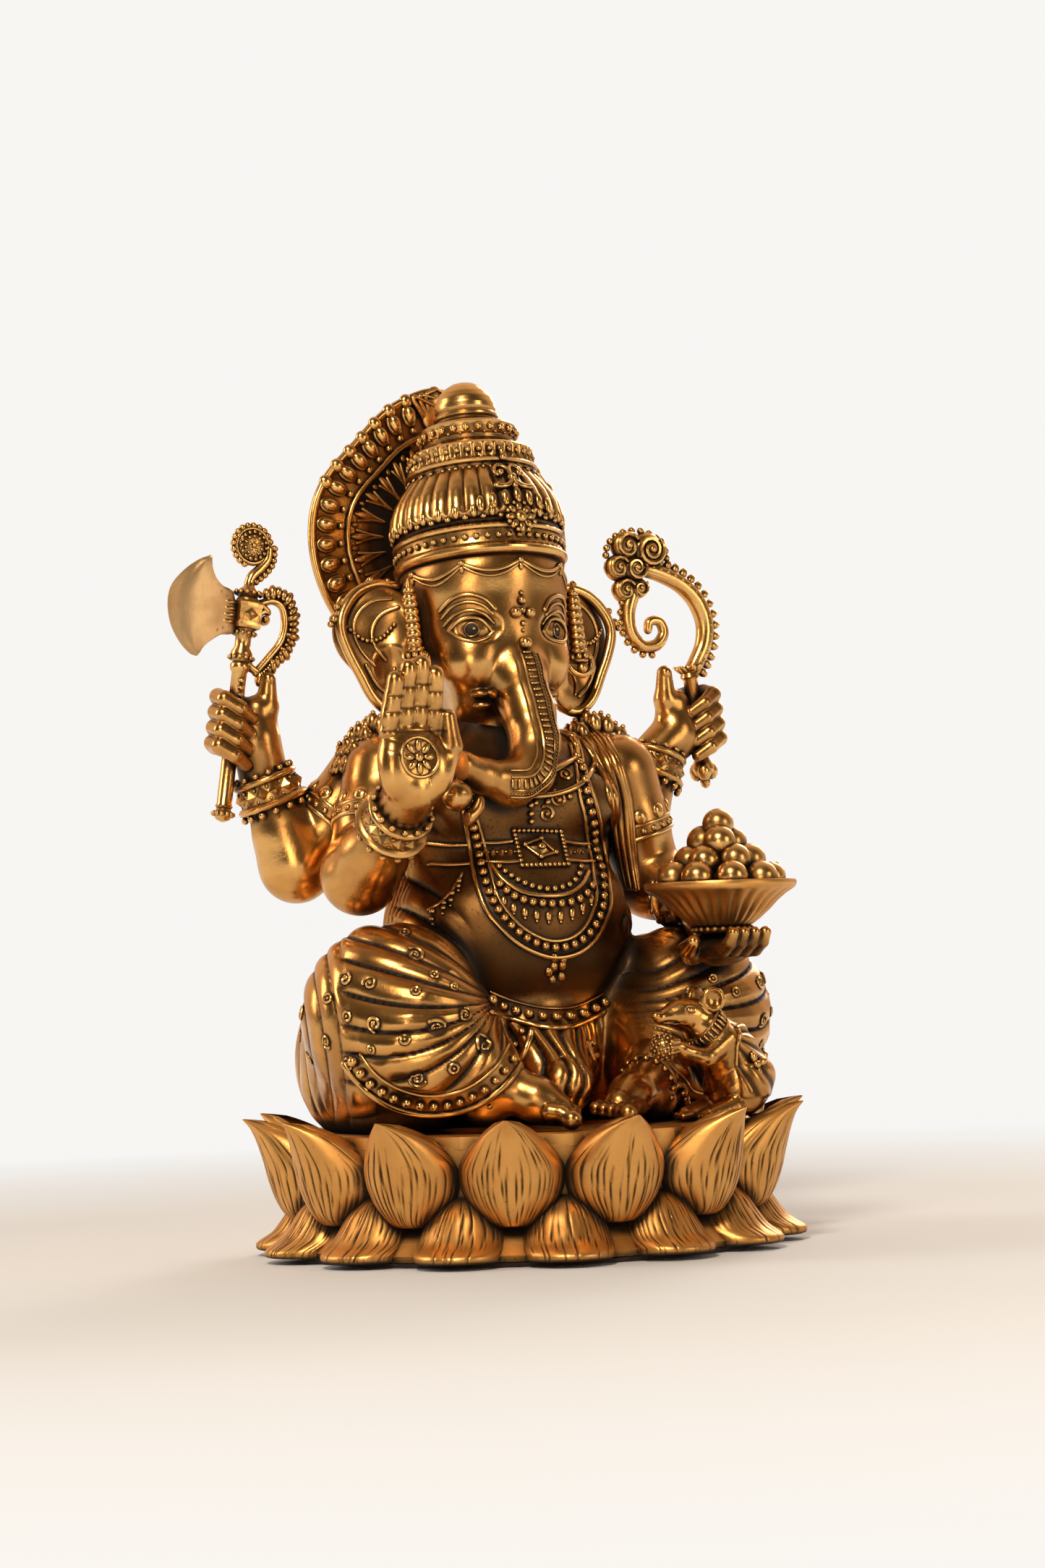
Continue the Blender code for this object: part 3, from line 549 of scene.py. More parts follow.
def build_lotus():
    pitch = 2 * math.pi / PETALS
    upper, lower = Trim(), Trim()
    for index in range(PETALS):
        petal(upper, UPPER_CREST, UPPER_HALF_WIDTH, PETAL_TURN + index * pitch, 1.04, 0.34, 2.0)
        petal(lower, LOWER_CREST, LOWER_HALF_WIDTH, PETAL_TURN + (index + 0.5) * pitch, 0.95, 0.42, 0.84, 1.2)
    ring = [(70.6, 16), (74, 17), (75.5, 24), (76.8, 30), (77.8, 35), (77.9, 38.5), (77.0, 41), (75.4, 42.3), (73, 42.5), (70.6, 42.4)]
    upper.turned(ring + ring[:1], 96)
    foot = [(70.6, 2.0), (82, 2.0), (83, 4), (79, 8), (75, 13), (70.6, 15)]
    lower.turned(foot + foot[:1], 96)
    upper.piece("lotus_upper_petals", brass_matte, "upper_petals")
    lower.piece("lotus_lower_petals", brass_matte, "lower_petals")


# Body and garment

VIEW = math.radians(29)
ACROSS = np.array((math.cos(VIEW), -math.sin(VIEW), 0))
AWAY = np.array((math.sin(VIEW), math.cos(VIEW), 0))
PLEAT_ROOT = (-8.0, 85.0)
PLEAT_FAR = (-95.0, 112.0)
HEM_CENTRE = (-29.0, 82.0)
HEM_RADIUS = 29.7


def smooth_step(value, low, high):
    t = np.clip((value - low) / (high - low), 0, 1)
    return t * t * (3 - 2 * t)


def body_clay():
    clay = Clay((-90, -54, 38), (90, 66, 194), 0.62)
    clay.ball((0, 10, 108), (42.5, 38.5, 37), blend=9)
    clay.ball((0, 16, 145), (43, 27.5, 33), blend=8)
    clay.limb([((-41, 16, 160), 15.5), ((41, 16, 160), 15.5)], blend=9)
    clay.ball((0, 20, 68), (60, 35, 30), blend=10)
    clay.limb([((0, 18, 165), 17), ((0, 17, 196), 13)], blend=9)
    clay.limb([((0, -6, 68), 22), ((-2, -30, 56), 10)], blend=7)
    for side in (-1, 1):
        clay.limb([((side * 43, 22, 72), 28), ((side * 57, -12, 79), 27)], blend=8)
        clay.limb([((side * 46, 24, 60), 24), ((side * 54, -12, 62), 22)], blend=8)
        clay.ball((side * 17, -7, 152), (17, 9, 11), blend=8)
    clay.limb([((-57, -14, 83), 28), ((-52, -26, 72), 26), ((-39, -40, 61), 14)], blend=8)
    clay.limb([((60, -10, 76), 27), ((52, -15, 68), 24), ((34, -31, 58), 12)], blend=8)
    return clay


def pleats(points, side):
    """Height and dirt of the garment's pleats: arcs that meet at the inner hip and spread over the knee."""
    x, y = points[:, 0] * -side, points[:, 1]
    z = points[:, 2] + (5 if side > 0 else 0)
    s = x * ACROSS[0] + y * ACROSS[1]
    root_s, root_z = PLEAT_ROOT[0] - s, PLEAT_ROOT[1] - z
    far_s, far_z = PLEAT_FAR[0] - s, PLEAT_FAR[1] - z
    arc = np.degrees(np.arctan2(root_s * far_z - root_z * far_s, root_s * far_s + root_z * far_z)) % 360
    away = np.hypot(root_s, root_z)
    hem = np.hypot(s - HEM_CENTRE[0], z - HEM_CENTRE[1])
    outer = smooth_step(-s, 55, 61)
    behind = smooth_step(y, 2, 16)
    wave = np.abs(np.sin(math.pi * (arc + 5 * np.sin(arc / 17)) / 19.5))
    thin = np.abs(np.sin(math.pi * (arc / 7.75 + 0.25 * np.sin(away / 6))))
    side_wave = np.abs(np.sin(math.pi * (s + 0.10 * (z - 80) + 1.5 * np.sin(z / 16)) / 5.6))
    turn = np.degrees(np.arctan2(y - 8, -x - 30))
    back_wave = np.abs(np.sin(math.pi * (turn / 15 + z / 30)))
    fold = 2.1 * wave**0.5 + 0.22 * thin**0.6 * smooth_step(away, 6, 18) * (1 - smooth_step(away, 26, 40)) - 1.2
    fold = fold * (1 - outer) + outer * (1.1 * side_wave**0.6 - 0.7)
    fold = fold * (1 - behind) + behind * (1.3 * back_wave**0.6 - 0.8)
    crease = (1 - smooth_step(wave, 0.05, 0.38)) * (1 - outer) * (1 - behind)
    crease += (1 - smooth_step(side_wave, 0.05, 0.3)) * outer * (1 - behind) * 0.6
    crease += (1 - smooth_step(back_wave, 0.05, 0.3)) * behind * 0.7
    front = 1 - behind
    within = 1 - smooth_step(hem, 24.5, 26.5) * front * smooth_step(s, -56, -44) * smooth_step(82 - z, 0, 4)
    leg = smooth_step(-x, 27, 36) * smooth_step(points[:, 2], 43, 48)
    grow = 0.3 + 0.7 * smooth_step(away, 4, 24)
    band = front * leg * (1 - within)
    under = band * smooth_step(hem, 33.0, 34.5) * 3.0
    return leg * within * grow * fold - under, np.clip(leg * within * crease * 0.85 + under * 0.25, 0, 1)


def loincloth_folds(points):
    """Narrow wavering folds that hang between the knees."""
    x, y, z = points.T
    where = smooth_step(26 - np.abs(x), 0, 6) * smooth_step(z, 44, 50) * smooth_step(79 - z, 0, 5)
    where = where * smooth_step(-y, 8, 18)
    sway = x * (1 + 0.10 * (78 - z) / 26) + 1.2 * np.sin(z / 3.4 + x * 0.25)
    wave = np.abs(np.sin(math.pi * sway / 5.4))
    return where * (1.9 * wave**0.6 - 1.1), where * (1 - smooth_step(wave, 0.05, 0.4)) * 0.9


def shawl(points):
    """The cloth over the left shoulder: a raised field with long folds."""
    x, y, z = points.T
    edge = 31 + 5 * np.sin((z - 120) / 26) + np.maximum(0, 150 - z) * 0.06
    over = smooth_step(x, edge, edge + 1.6) * smooth_step(z, 101, 110) * (1 - smooth_step(z, 184, 190))
    back = smooth_step(y, 18, 24) * smooth_step(z, 84, 92) * smooth_step(x, -44 + (190 - z) * 0.22, -41 + (190 - z) * 0.22)
    cloth = np.maximum(over, back * (1 - smooth_step(z, 184, 190)))
    run = (x - edge) * 0.9 + y * 0.35 + 1.6 * np.sin(z / 15)
    wave = np.abs(np.sin(math.pi * run / 4.1))
    return cloth * (0.5 + 0.95 * wave**0.7), cloth * (1 - smooth_step(wave, 0.05, 0.38)) * 0.8


def stain_or_shade(skin, centre, radius, amount):
    """Darkens the skin round a centre: used for old wax round the motifs, for the dark irises, and for painted shade
    where shadows fall.
    """
    away = np.linalg.norm(skin.points - centre, axis=1)
    skin.grime_and_shade = np.maximum(skin.grime_and_shade, amount * (1 - smooth_step(away, radius * 0.75, radius * 1.15)))


def carve_body():
    clay = body_clay()
    clay.cut((0, 0, 42.15), (0, 0, -1))
    skin = clay.skin()
    for side in (-1, 1):
        skin.raise_by(*pleats(skin.points, side))
    skin.raise_by(*loincloth_folds(skin.points))
    skin.raise_by(*shawl(skin.points))
    navel = np.linalg.norm(skin.points - skin.near((0, -29, 90))[0], axis=1)
    skin.raise_by(-1.6 * np.exp(-((navel / 2.2) ** 2)), 0.8 * np.exp(-((navel / 1.9) ** 2)))
    x, y, z = skin.points.T
    # Painted shade: the bare belly is darkened, more so towards its bottom, for the shade it sits in
    bare = smooth_step(-y, -16, 2) * smooth_step(z, 78, 90) * (1 - smooth_step(np.abs(x), 36, 46))
    skin.grime_and_shade = np.maximum(skin.grime_and_shade, bare * (0.42 + 0.14 * smooth_step(110 - z, -10, 20)))
    # Painted shadow of the bowl and its hand on the left thigh
    stain_or_shade(skin, np.array((38, -44, 92)), 24, 0.4)
    # Painted shade under the trunk, over the chin and upper chest
    stain_or_shade(skin, skin.near((-6, -22, 181))[0], 19, 0.62)
    return skin


def seen_path(skin, places, spacing, side=-1):
    """A path over the skin through (across, height) places, dropped along the line of sight of that side."""
    across, away = ACROSS * (-side, 1, 1), AWAY * (-side, 1, 1)
    path = []
    for s, _, z in spline([(s, 0, z) for s, z in places], spacing):
        found = skin.hit(across * s + np.array((0, 0, z)) - away * 200, away)
        if found is not None:
            path.append(found[0])
    return np.array(path)


def front_path(skin, places, spacing):
    """A path over the front of the skin through (x, z) places."""
    found = [skin.hit((x, -150, z), (0, 1, 0)) for x, _, z in spline([(x, 0, z) for x, z in places], spacing)]
    return np.array([hit[0] for hit in found if hit is not None])


def offset_path(path, normals, amount):
    """The path moved sideways along the surface."""
    ahead = np.gradient(path, axis=0)
    beside = np.cross(ahead, normals)
    beside /= np.maximum(np.linalg.norm(beside, axis=1), 1e-9)[:, None]
    return path + beside * amount


def beaded_band(trim, skin, path, gap, bead, ridge, step, lift=0.3):
    """A row of beads between two ridges along a path on the skin."""
    fine, normals = skin.lay(spline(path, 0.9))
    for side in (-1, 1):
        line, line_normals = skin.lay(offset_path(fine, normals, side * gap))
        trim.tube(line + line_normals * lift * 0.3, ridge, line_normals, sides=8)
    beads, normals = skin.lay(spline(path, step))
    trim.beads(beads + normals * (bead * 0.45 + lift), bead)


def spiral(trim, skin, centre, size, turns, thick, hand=1, start=0.0):
    """A small curl laid on the skin."""
    place, normal = skin.near(centre)
    across = unit(np.cross(normal, (0.1, 0.2, 1)))
    up = np.cross(across, normal)
    t = np.linspace(0, 1, int(16 * turns))
    angle = start + hand * t * turns * 2 * math.pi
    reach = size * (1 - 0.82 * t)
    flat = place + (np.cos(angle) * reach)[:, None] * across + (np.sin(angle) * reach)[:, None] * up
    path, normals = skin.lay(flat)
    trim.tube(path + normals * thick * 0.25, thick * (1 - 0.3 * t), normals, sides=6)
    trim.bead(place + normal * 0.2, thick * 1.1, detail=1)


def arc_places(centre, radius, start, stop, count=14):
    """Places on an arc, with angles in degrees from +x towards +z."""
    angles = np.radians(np.linspace(start, stop, count))
    return [(centre[0] + radius * math.cos(a), centre[1] + radius * math.sin(a)) for a in angles]


def ring_on(trim, skin, centre, size, thick):
    """A small ring with a dot in it, laid on the skin."""
    place, normal = skin.near(centre)
    beside = unit(np.cross(normal, (0, 0, 1)))
    up = np.cross(normal, beside)
    turn = np.linspace(0, 2 * math.pi, 14, endpoint=False)
    flat = place + size * (np.cos(turn)[:, None] * beside + np.sin(turn)[:, None] * up)
    path, normals = skin.lay(flat)
    trim.tube(path + normals * 0.1, thick, normals, sides=6, closed=True)
    trim.bead(place + normal * 0.1, thick * 1.5, detail=1)


CURLS = [
    (-48.8, 92.4, 2.0), (-34.1, 101.0, 2.4), (-34, 89.5, 1.6), (-37.6, 108.5, 1.8), (-21.7, 90.3, 1.3),
    (-47.7, 79.3, 2.2), (-38, 74.1, 1.8), (-27.7, 77.5, 2.9), (-18.5, 81.2, 2.2), (-49.1, 71, 1.5),
    (-34.5, 61.3, 2.6), (-22.6, 64, 1.9), (-13, 71.2, 2.9), (-56.8, 94.1, 2.1), (-56.7, 82, 1.8), (-57.2, 66.8, 2.2),
    (-63, 88, 1.8), (-64, 74, 2.1), (-28, 94.5, 1.5),
]


def dress_garment(skin):
    """The hem's beads and ridges, the motifs on the pleats, and the belt under the belly."""
    hems, belt = Trim(), Trim()
    for side in (-1, 1):
        centre = (HEM_CENTRE[0], HEM_CENTRE[1] - (5 if side > 0 else 0))
        place = seen_path(skin, arc_places(centre, HEM_RADIUS, -16, -150), 4.3, side)
        beads, normals = skin.lay(place)
        hems.beads(beads + normals * 0.9, np.linspace(1.25, 1.75, len(beads)), detail=3)
        for radius, thick in ((HEM_RADIUS + 3.2, 1.25), (HEM_RADIUS - 3.0, 0.6)):
            place = seen_path(skin, arc_places(centre, radius, -14, -152, 30), 1.0, side)
            line, normals = skin.lay(place)
            lifted = line + normals * thick * 0.2
            breaks = np.flatnonzero(np.linalg.norm(np.diff(lifted, axis=0), axis=1) > 3) + 1
            for run, run_normals in zip(np.split(lifted, breaks), np.split(normals, breaks)):
                if len(run) > 8:
                    hems.tube(smooth_line(run), thick, smooth_line(run_normals), sides=10)
        for index, (s, z, size) in enumerate(CURLS):
            z = z - (5 if side > 0 else 0)
            found = seen_path(skin, [(s, z), (s + 0.1, z)], 0.1, side)
            if not len(found):
                continue
            stain_or_shade(skin, found[0], size * 1.35, 0.66)
            if size > 1.9:
                spiral(hems, skin, found[0], size * 1.2, 1.5, 0.62, hand=-side, start=index)
            else:
                ring_on(hems, skin, found[0], size * 0.8, 0.5)
        for index, (x, y, z) in enumerate(((-86, -2, 84), (-84, 6, 66), (-80, 14, 98), (-78, 26, 76), (-66, 34, 96), (-66, 44, 70))):
            spiral(hems, skin, (x * -side, y, z), 2.6, 1.5, 0.6, hand=side, start=index)
            stain_or_shade(skin, skin.near((x * -side, y, z))[0], 2.9, 0.62)
    hems.piece("garment_hems", brass_relief)

    left = [(-10.2, 84.7), (-4.9, 82.2), (1, 80.1), (6.8, 78.6), (13.3, 78.0), (19, 78.8), (23, 80.4), (28, 82.6)]
    places = seen_path(skin, left, 4.6)
    beads, normals = skin.lay(places)
    belt.beads(beads + normals * 0.9, 1.75, detail=3)
    for rise, thick in ((3.1, 0.5), (-3.3, 1.0)):
        line, normals = skin.lay(seen_path(skin, [(s, z + rise) for s, z in left], 1.0))
        belt.tube(smooth_line(line + normals * 0.2), thick, smooth_line(normals), sides=8)
    belt.piece("belly_belt", brass_relief)


def smooth_line(path, rounds=4):
    """The path with its small jogs evened out; its ends stay."""
    path = np.array(path)
    for _ in range(rounds):
        path[1:-1] = (path[:-2] + 2 * path[1:-1] + path[2:]) / 4
    return path


# Head group

NECK = np.array((0.0, 12.0, 188.0))
LEAN = np.array(Matrix.Rotation(math.radians(-7.5), 3, "X"))
CROWN_FOOT = 46.0


def lean(point):
    """A place in the head's own leaning frame, given in the shared frame."""
    return NECK + LEAN @ np.asarray(point, float)


def lean_turn():
    return Matrix(LEAN.tolist())


TRUNK = [
    ((0, 1, 206), 9.6), ((0, -5, 194), 9.4), ((1, -10, 182), 8.6), ((0.4, -15, 171), 8.1),
    ((-4, -19, 161.5), 7.8), ((-13, -22, 157), 7.2), ((-24, -23.5, 159.5), 6.0),
]
TRUNK_SWEET = np.array((-36.0, -26.0, 153.0))
SWEET_RADIUS = 4.9


def trunk_curl():
    """The trunk's tip rolled round its sweet."""
    curl = []
    for step in range(19):
        angle = math.radians(75 + 15 * step)
        thick = 4.8 - 0.17 * step
        reach = SWEET_RADIUS + thick + 0.5
        offset = np.array((math.cos(angle) * reach, -step * 0.15, math.sin(angle) * reach))
        curl.append((TRUNK_SWEET + offset, thick))
    return curl


def carve_head():
    clay = Clay((-34, -36, 134), (34, 46, 238), 0.5)
    for centre, radii, blend in (
        ((0, 1, 24), (27, 26, 27), 3), ((0, -6, 28), (23, 18, 20), 5), ((-12.5, -10, 11), (11.5, 11.5, 12), 5),
        ((12.5, -10, 11), (11.5, 11.5, 12), 5), ((-13, -7, 34), (11, 12, 7), 5), ((13, -7, 34), (11, 12, 7), 5),
        ((0, -10, 34), (9, 12, 9), 6), ((0, 0.5, 41), (28.6, 28.2, 17), 6), ((-10, -5, -1), (8, 9, 7), 4), ((10, -5, -1), (8, 9, 7), 4),
    ):
        clay.ball(lean(centre), radii, lean_turn(), blend)
    clay.limb([(lean((0, 5, -10)), 15), (lean((0, 2, 14)), 18)], blend=4)
    for side in (-1, 1):
        clay.ball(lean((side * 14.6, -21.5, 20.4)), (7.6, 3.4, 4.6), Matrix.Rotation(math.radians(side * 32), 3, "Z"), 2.0, True)
        clay.ball(lean((side * 14.4, -16.6, 20.4)), (6.6, 3.6, 4.4), Matrix.Rotation(math.radians(side * 32), 3, "Z"), 0.8)
        clay.ball(lean((side * 13.6, -17.2, -3.2)), (4.6, 2.0, 1.5), Matrix.Rotation(math.radians(side * 30), 3, "Z"), 1.0, True)
        clay.ball(lean((side * 13.4, -15.4, -1.4)), (3.6, 2.6, 1.5), Matrix.Rotation(math.radians(side * 30), 3, "Z"), 0.8)
        clay.ball(lean((side * 13.0, -14.6, -5.2)), (3.2, 2.4, 1.4), Matrix.Rotation(math.radians(side * 30), 3, "Z"), 0.8)
    clay.limb(TRUNK, blend=4)
    clay.limb([TRUNK[-1]] + trunk_curl(), blend=1.2)
    top = lean((0, 0, CROWN_FOOT))
    clay.cut(top, LEAN @ np.array((0, 0, 1)))
    return clay.skin()


def face_path(skin, side, places, spacing):
    """A path on the face round one eye, through (towards the nose, up) places in millimetres."""
    turn = math.radians(32)
    inward = np.array((-side * math.cos(turn), -math.sin(turn), 0))
    into = np.array((-side * math.sin(turn), math.cos(turn), 0))
    centre = lean((side * 14.5, -16.8, 20.6))
    path = []
    for a, _, b in spline([(a, 0, b) for a, b in places], spacing):
        found = skin.hit(centre + inward * a + LEAN @ np.array((0, 0, b)) - into * 60, into)
        if found is not None:
            path.append(found[0])
    return np.array(path)


def ridge(trim, skin, path, thick, rise=0.2, rounds=3, sides=8):
    """A smooth ridge along a path that already lies on the skin."""
    line, normals = skin.lay(path)
    trim.tube(smooth_line(line + normals * thick * rise, rounds), thick, smooth_line(normals, rounds), sides=sides)


def dress_face(skin):
    face = Trim()
    for side in (-1, 1):
        for places, thick in (
            ([(-8.2, -0.4), (-5, 2.7), (-0.8, 4.0), (3.2, 2.9), (6.6, -1.2)], 0.85),
            ([(-7.8, -0.9), (-4, -3.7), (0.4, -4.6), (4, -3.5), (6.6, -1.2)], 0.7),
            ([(-9.8, 1.4), (-5.5, 5.0), (-0.5, 6.3), (4, 5.2), (7.2, 1.8)], 0.6),
            ([(-10.4, 4.0), (-5.5, 8.2), (0, 9.1), (4.6, 7.6), (7.2, 4.8)], 0.6),
            ([(-10.8, 6.6), (-5.5, 10.7), (0.4, 11.6), (5.4, 9.8), (8.2, 6.4)], 0.8),
        ):
            ridge(face, skin, face_path(skin, side, places, 0.7), thick)
        place, normal = skin.near(face_path(skin, side, [(-0.5, -0.3), (-0.4, -0.3)], 0.1)[0])
        beside = unit(np.cross(normal, (0, 0, 1)))
        up = np.cross(beside, normal)
        turn = np.linspace(0, 2 * math.pi, 20, endpoint=False)
        flat = place + 2.5 * (np.cos(turn)[:, None] * beside + np.sin(turn)[:, None] * up)
        line, normals = skin.lay(flat)
        face.tube(line + normals * 0.1, 0.3, normals, sides=6, closed=True)
        face.bead(place + beside * 0.8 * side + up * 0.3 + normal * 0.1, 0.65)
        stain_or_shade(skin, place, 2.8, 1.1)

    front = [(0, 202), (0.2, 195), (0.8, 186), (0.9, 176), (0.2, 168), (-3.2, 161), (-9, 156.8), (-17, 156.6)]
    line, normals = skin.lay(front_path(skin, front, 0.8))
    line, normals = smooth_line(line), smooth_line(normals)
    for offset, thick in ((-2.3, 0.42), (2.3, 0.42), (-5.2, 0.35), (5.2, 0.35)):
        edge, edge_normals = skin.lay(offset_path(line, normals, offset))
        face.tube(smooth_line(edge + edge_normals * 0.12), thick, smooth_line(edge_normals), sides=6)
    rungs, rung_normals = skin.lay(spline(line, 2.3))
    ahead = np.gradient(rungs, axis=0)
    for place, normal, direction in zip(rungs, rung_normals, ahead):
        direction = unit(direction)
        across = unit(np.cross(normal, direction))
        face.bead(place + normal * 0.1, (1.8, 0.62, 0.7), np.stack([across, direction, normal], 1))
    small, small_normals = skin.lay(spline(offset_path(line, normals, -3.7), 1.35))
    face.beads(small + small_normals * 0.1, 0.42, detail=1)

    root, normal = skin.near((0, -9, 204.5))
    face.bead(root + normal * 1.2, 2.1, detail=3)
    for x, z, size in ((0, 219.8, 1.5), (-2.6, 215.6, 1.9), (2.6, 215.6, 1.9), (0, 216.4, 1.2), (0, 212, 0.95), (0, 209.6, 0.7), (0, 222.4, 0.8)):
        found = skin.hit((x, -150, z), (0, 1, 0))
        face.bead(found[0] + found[1] * size * 0.35, size, detail=3)
    for anchor in range(-3, 3):
        angles = np.radians(np.linspace(anchor * 42, anchor * 42 + 42, 13))
        sag = np.sin(np.linspace(0, math.pi, 13))
        for drop, thick in ((0, 0.75), (1.9, 0.5)):
            path = [lean((35 * math.sin(a), -35 * math.cos(a), 43.4 - (5.0 + drop * 0.6) * s - drop * 0.7)) for a, s in zip(angles, sag)]
            ridge(face, skin, spline(path, 0.9), thick)
        place, normal = skin.near(lean((30 * math.sin(angles[0]), -30 * math.cos(angles[0]), 42.6)))
        face.bead(place + normal * 0.4, 1.2)
        place, normal = skin.near(lean((30 * math.sin(angles[0]), -30 * math.cos(angles[0]), 40.2)))
        face.bead(place + normal * 0.2, (0.8, 0.8, 1.4))
    tusk = [lean((-9.5, -17.5, -1.2)), lean((-11.5, -20.5, -2.8)), lean((-13.8, -22.4, -2.4))]
    face.tube(spline(tusk, 0.6), np.linspace(2.0, 0.7, len(spline(tusk, 0.6))), sides=12)
    face.piece("face_relief", brass_relief)


def build_ears():
    for side, name in ((-1, "right"), (1, "left")):
        clay = Clay(np.array((-62, -4, 178)) if side < 0 else (24, -4, 178), (-24, 46, 240) if side < 0 else (62, 46, 240), 0.5)
        turn = Matrix((LEAN @ np.array(Matrix.Rotation(math.radians(side * 18), 3, "Z"))).tolist())
        clay.ball(lean((side * 39, 7, 25)), (15.5, 3.6, 16), turn, 3)
        clay.ball(lean((side * 35, 7, 10)), (11, 3.2, 14), turn, 5)
        clay.ball(lean((side * 28, 5, 22)), (8, 6, 15), turn, 4)
        clay.ball(lean((side * 41, 1.5, 26)), (9.5, 4.2, 10.5), turn, 2.0, True)
        clay.ball(lean((side * 37.5, 2.2, 10)), (5.5, 3.6, 9), turn, 2.0, True)
        clay.cut(lean((side * 27.4, 0, 0)), (-side, 0, 0))
        skin = clay.skin()
        trim = Trim()
        out = np.array((side * 0.31, -0.95, 0))
        def on_ear(x, z):
            found = skin.hit(lean((side * x, 7, z)) + out * 60, -out)
            return found[0] if found else lean((side * x, 7, z))
        rim = [(30, 40.5), (38, 41.5), (46.5, 38.5), (52.5, 31.5), (54.0, 25), (51.5, 17), (48, 10), (43.5, 1.5), (37, -3.2), (31, -1)]
        flat = spline([(x, 0, z) for x, z in rim], 1.0)
        edge = np.array([lean((side * x * 0.985, 7.2 - 0.05 * (x - 30), z)) for x, _, z in flat])
        trim.tube(smooth_line(edge), 1.9, sides=12)
        for fold, thick in (
            ([(33, 36), (40, 35.5), (46, 31), (48, 25), (46, 18.5), (41.5, 13)], 0.7),
            ([(31, 33), (37, 31), (41, 26), (41, 20), (37, 15)], 0.8),
            ([(44.5, 13), (41, 6), (36, 2.5)], 0.8),
            ([(34, 12), (36, 7), (34, 3)], 0.6),
        ):
            path = np.array([on_ear(x, z) for x, _, z in spline([(x, 0, z) for x, z in fold], 0.9)])
            ridge(trim, skin, smooth_line(path), thick)
        swag = spline([(33, 0, 27), (38, 0, 22.6), (44, 0, 21.8), (50.5, 0, 26.5)], 1.75)
        beads = np.array([on_ear(x, z) for x, _, z in swag])
        trim.beads(beads + out * 0.5, 0.9)
        for x, z, size in ((55.2, 29.0, 1.7), (56.6, 27.2, 1.2), (53.4, 33.2, 1.3), (40, 42.8, 1.3), (33.5, 42.4, 1.2)):
            trim.bead(lean((side * x, 6.4, z)), size)
        finish_skin(f"{name}_ear_shell", skin, brass, f"{name}_ear")
        trim.piece(f"{name}_ear_rim", brass_relief)


def build_tassels():
    for side, name in ((-1, "right"), (1, "left")):
        trim = Trim()
        place = np.eye(4)
        place[:3, :3], place[:3, 3] = LEAN, lean((side * 32, -6, 0))
        z = np.linspace(40.5, 14.5, 96)
        radius = np.interp(z, (14.5, 17, 33, 36.5, 40.5), (3.0, 2.4, 2.1, 1.5, 0.3)) + 0.55 * np.abs(np.sin(math.pi * (z - 14.5) / 2.6)) ** 0.8 * (z < 37)
        trim.turned(list(zip(np.maximum(radius, 0.2), z))[::-1], 24, place)
        for step in range(9):
            angle = 2 * math.pi * step / 9
            trim.bead(lean((side * 32 + 3.5 * math.cos(angle), -6 + 3.5 * math.sin(angle), 13.4)), 1.15)
            trim.bead(lean((side * 32 + 2.6 * math.cos(angle), -6 + 2.6 * math.sin(angle), 15.8)), 0.8)
        trim.bead(lean((side * 32, -6, 12.6)), (3.4, 3.4, 1.6), detail=3)
        hook = []
        for step in range(25):
            angle = math.radians(160 + 12.5 * step)
            reach = 5.0 if step < 15 else 5.0 - 0.28 * (step - 14)
            hook.append(lean((side * 32 + reach * math.cos(angle), -6.5, 12.4 + reach * math.sin(angle))))
        trim.tube(hook, np.concatenate([np.linspace(0.7, 1.25, 8), np.full(9, 1.25), np.linspace(1.25, 0.7, 8)]), sides=10)
        trim.bead(lean((side * 32, -7.5, 9.6)), 1.9, detail=3)
        trim.piece(f"{name}_ear_jewel", brass_relief, f"{name}_ear_tassel")


def crown_place():
    place = np.eye(4)
    place[:3, :3], place[:3, 3] = LEAN, lean((0, 0, CROWN_FOOT))
    return place


